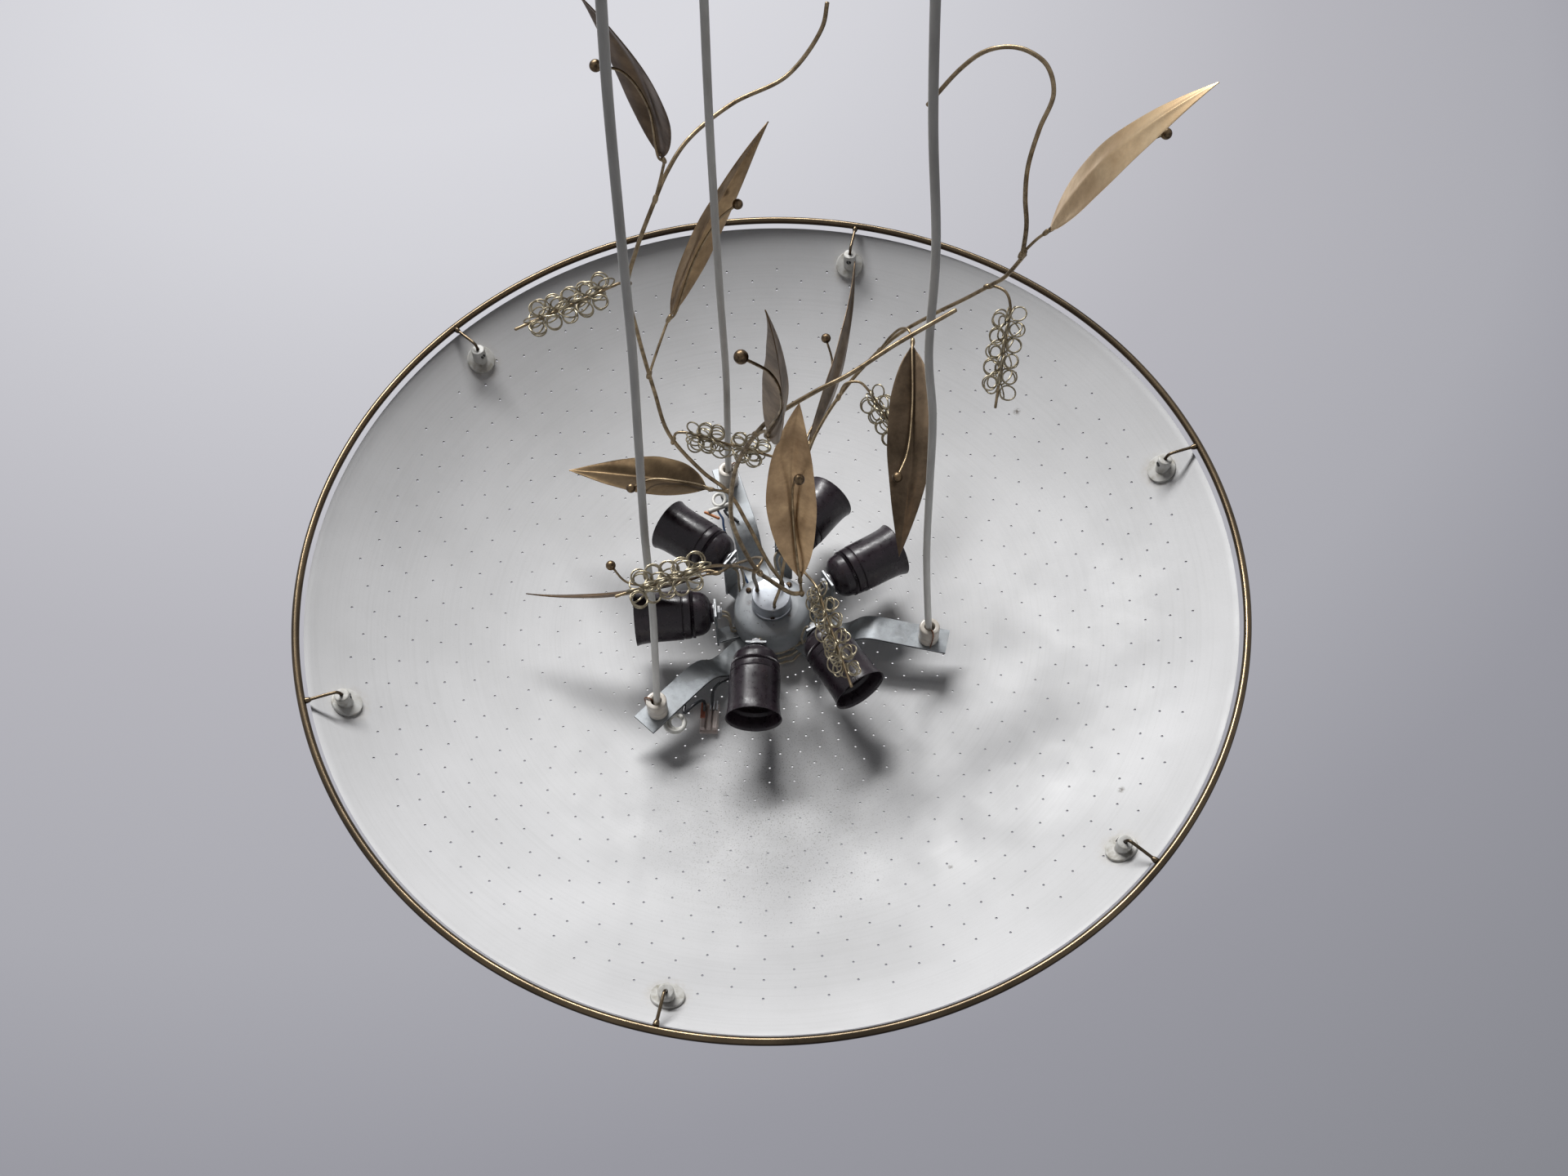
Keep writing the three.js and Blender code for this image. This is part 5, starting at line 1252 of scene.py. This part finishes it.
for letter, sprig in SPRIGS.items():
    body = "spray_" + letter
    first, last, points = sprig["stem"]
    foot = around(STEM_CIRCLE, STEM_HOLES[letter][0], CAP_TOP)
    sunk = [foot + [0, 0, height] for height in (-0.0095, -0.003, 0.0017, 0.005)]
    route = np.vstack([*sunk, in_room(points)])
    stem = smooth_path(route, 14 * len(route))
    rods, grids = [stem], [round_section(stem, np.linspace(first, last, len(stem)) / 1000, 16)]
    if "bough" in sprig:
        first, last, points = sprig["bough"]
        bough = smooth_path(in_room(points), 14 * len(points))
        rods.append(bough)
        grids.append(round_section(bough, np.linspace(first, last, len(bough)) / 1000, 16))
        meet = nearest([bough], stem[-1])
        grids.append(solder(meet, stem[-1] - stem[-6], 0.0025, 0.011))
    balls = []
    for number, leaf in sprig["leaves"].items():
        root, _, along, _, _ = leaf_axes(leaf)
        start = nearest(rods, in_room(leaf["stem"][0]))
        twig = smooth_path(np.vstack([start, in_room(leaf["stem"][1:]), root - along * 0.005,
                                      root + along * 0.004]), 60)
        grids.append(round_section(twig, TWIG_RADIUS, 12))
        grids.append(solder(start, twig[3] - twig[0], 0.0021, 0.008))
        ball_at = in_room(leaf["ball"])
        crook = on_fold(leaf, leaf["along"], STAMEN_LIFT * 1.6) * 0.75 + ball_at * 0.25
        hook = smooth_path(
            [root - along * 0.006, on_fold(leaf, 0.01, STAMEN_LIFT),
             on_fold(leaf, leaf["along"] * 0.6, STAMEN_LIFT), crook, ball_at], 70,
        )
        grids.append(round_section(hook, STAMEN_RADIUS, 12))
        grids.append(solder(root - along * 0.0045, along, 0.0019, 0.008))
        balls.append(ball(ball_at, hook[-1] - hook[-5], BALL_RADIUS))
        leaf_brass = patina(f"leaf {number} brass", *LEAF_TONES_AND_LIGHT[number], low=0.36, high=0.7, scale=30,
                            roughness=(0.3, 0.46))
        sheet = surface(f"folded_leaf_{number}", leaf_sheet(leaf, number), crease=50)
        fitted(sheet, body, "leaf_brass", leaf_brass, f"leaf_{number}")
    for number, catkin in sprig["catkins"].items():
        start, end = in_room(catkin["start"]), in_room(catkin["end"])
        origin = nearest(rods, in_room(catkin["stem"][0]))
        twig = smooth_path(np.vstack([origin, in_room(catkin["stem"][1:]), start, start + (end - start) * 0.3,
                                      start + (end - start) * 0.65, end]), 90)
        grids.append(round_section(twig, TWIG_RADIUS, 12))
        grids.append(solder(origin, twig[3] - twig[0], 0.0021, 0.008))
        length = np.linalg.norm(end - start)
        along = (end - start) / length
        side = start - in_room(catkin["stem"][0])
        side -= along * (side @ along)
        side /= np.linalg.norm(side)
        other = np.cross(along, side)
        u = np.linspace(0, 1, CURLS * 24)[:, None]
        bunched = u - 0.95 * np.sin(2 * np.pi * BUNDLES * u) / (2 * np.pi * BUNDLES)
        round_twig, round_curl = 2 * np.pi * WHORLS * bunched, 2 * np.pi * CURLS * u
        loose = 1 + 0.06 * np.sin(31 * u + number) * np.sin(7 * u + 2 * number)
        out = side * np.cos(round_twig) + other * np.sin(round_twig)
        # Catkin 2 has a gap between its two groups of curls
        run = np.interp(bunched, [0, 0.47, 0.53, 1], [0, 0.4, 0.6, 1]) if number == 2 else bunched
        wire = (
            start + out * (CURL_CIRCLE - CURL_RADIUS * np.cos(round_curl)) * loose
            + along * (CURL_RADIUS * (1 - np.sin(round_curl)) + (length - 0.007 - 2 * CURL_RADIUS) * run)
        )
        slant = along * 0.31 + side * 0.53 + other * 0.79
        coil = surface(f"wound_catkin_{number}", round_section(wire, CURL_WIRE, 8, reference=slant))
        fitted(coil, body, "dark_brass", coil_brass, f"catkin_{number}")
    sprig_wire = surface(f"soldered_sprig_{letter}", *grids)
    fitted(sprig_wire, body, "dark_brass", stem_brass, f"sprig_{letter}")
    fitted(surface(f"turned_balls_{letter}", *balls), body, "dark_brass", ball_brass)

# Room
# A plain floor far below, lighter to the back, with a painted pool of light where the line of
# sight through the pinholes by the hub meets it. The light is a soft window high behind the lamp
# and a little to its left, with an even grey light from all round. Floor and air look brighter to
# the eye than they are as lights.

FLOOR, FLOOR_HALF = -2.4, 12
LIT_PLACE, LIT_REACH = (-0.9, 3.2, FLOOR), 4.2
POOL_PLACE, POOL_REACH = (-0.016, 0.98, FLOOR), 0.72
FLOOR_GLOW = 0.8  # the rest is the paint's own shade, which keeps the lamp's shadow
WINDOW_WAY, WINDOW_FAR = np.array([-0.21, 0.69, 0.69]), 8


def seen(owner):
    """1 for rays that end in the eye, straight, mirrored or through something clear."""
    sight = owner.node_tree.nodes.new("ShaderNodeLightPath").outputs
    direct = maths(owner, "MAXIMUM", sight["Is Camera Ray"], sight["Is Glossy Ray"])
    return maths(owner, "MAXIMUM", direct, sight["Is Transmission Ray"])


floor_mesh = bpy.data.meshes.new("floor")
corners = [(x * FLOOR_HALF, y * FLOOR_HALF, FLOOR) for x, y in ((-1, -1), (1, -1), (1, 1), (-1, 1))]
floor_mesh.from_pydata(corners, [], [(0, 1, 2, 3)])
floor = bpy.data.objects.new("floor", floor_mesh)
bpy.context.scene.collection.objects.link(floor)
floor_paint = finish("floor paint", (0.5, 0.5, 0.52), 0.9, specular=0.1)
far = maths(floor_paint, "DISTANCE", object_place(floor_paint), LIT_PLACE, vector=True)
shade = steps(
    floor_paint, maths(floor_paint, "DIVIDE", far, LIT_REACH),
    (0.2, (0.73, 0.73, 0.775)), (0.3, (0.675, 0.675, 0.72)), (0.55, (0.4675, 0.4625, 0.506)),
    (0.7, (0.395, 0.395, 0.4375)), (0.8, (0.295, 0.295, 0.3375)), (0.97, (0.2025, 0.2075, 0.2375)),
)
# Painted light: a pale pool in the floor's glow, where the pinholes by the hub are seen through.
pool = steps(floor_paint, near(floor_paint, POOL_PLACE, POOL_REACH), (0.05, 0.0), (0.6, 1.0))
nodes, links = floor_paint.node_tree.nodes, floor_paint.node_tree.links
glow = nodes.new("ShaderNodeEmission")
links.new(mixed(floor_paint, pool, shade, (0.95, 0.95, 0.96)), glow.inputs["Color"])
swap = nodes.new("ShaderNodeMixShader")
links.new(product(floor_paint, seen(floor_paint), FLOOR_GLOW), swap.inputs["Fac"])
links.new(nodes["Principled BSDF"].outputs["BSDF"], swap.inputs[1])
links.new(glow.outputs["Emission"], swap.inputs[2])
links.new(swap.outputs["Shader"], nodes["Material Output"].inputs["Surface"])
floor_mesh.materials.append(floor_paint)

world = bpy.data.worlds.new("grey room")
bpy.context.scene.world = world
world.use_nodes = True
air = mixed(world, seen(world), (0.08, 0.08, 0.084), (0.42, 0.42, 0.44))
world.node_tree.links.new(air, world.node_tree.nodes["Background"].inputs["Color"])

window = bpy.data.lights.new("window", "AREA")
window.shape = "RECTANGLE"
window.size, window.size_y = 5.6, 1.4
window.energy = 850
window_object = bpy.data.objects.new("window", window)
bpy.context.scene.collection.objects.link(window_object)
back_off = WINDOW_WAY / np.linalg.norm(WINDOW_WAY)
aside = np.cross([0, 0, 1], back_off)
aside /= np.linalg.norm(aside)
turned = np.eye(4)
turned[:3, :3] = np.stack([aside, np.cross(back_off, aside), back_off], 1)
turned[:3, 3] = back_off * WINDOW_FAR + [0, 0, -0.7]
window_object.matrix_world = Matrix(turned.tolist())
bpy.context.scene.view_settings.view_transform = "Standard"
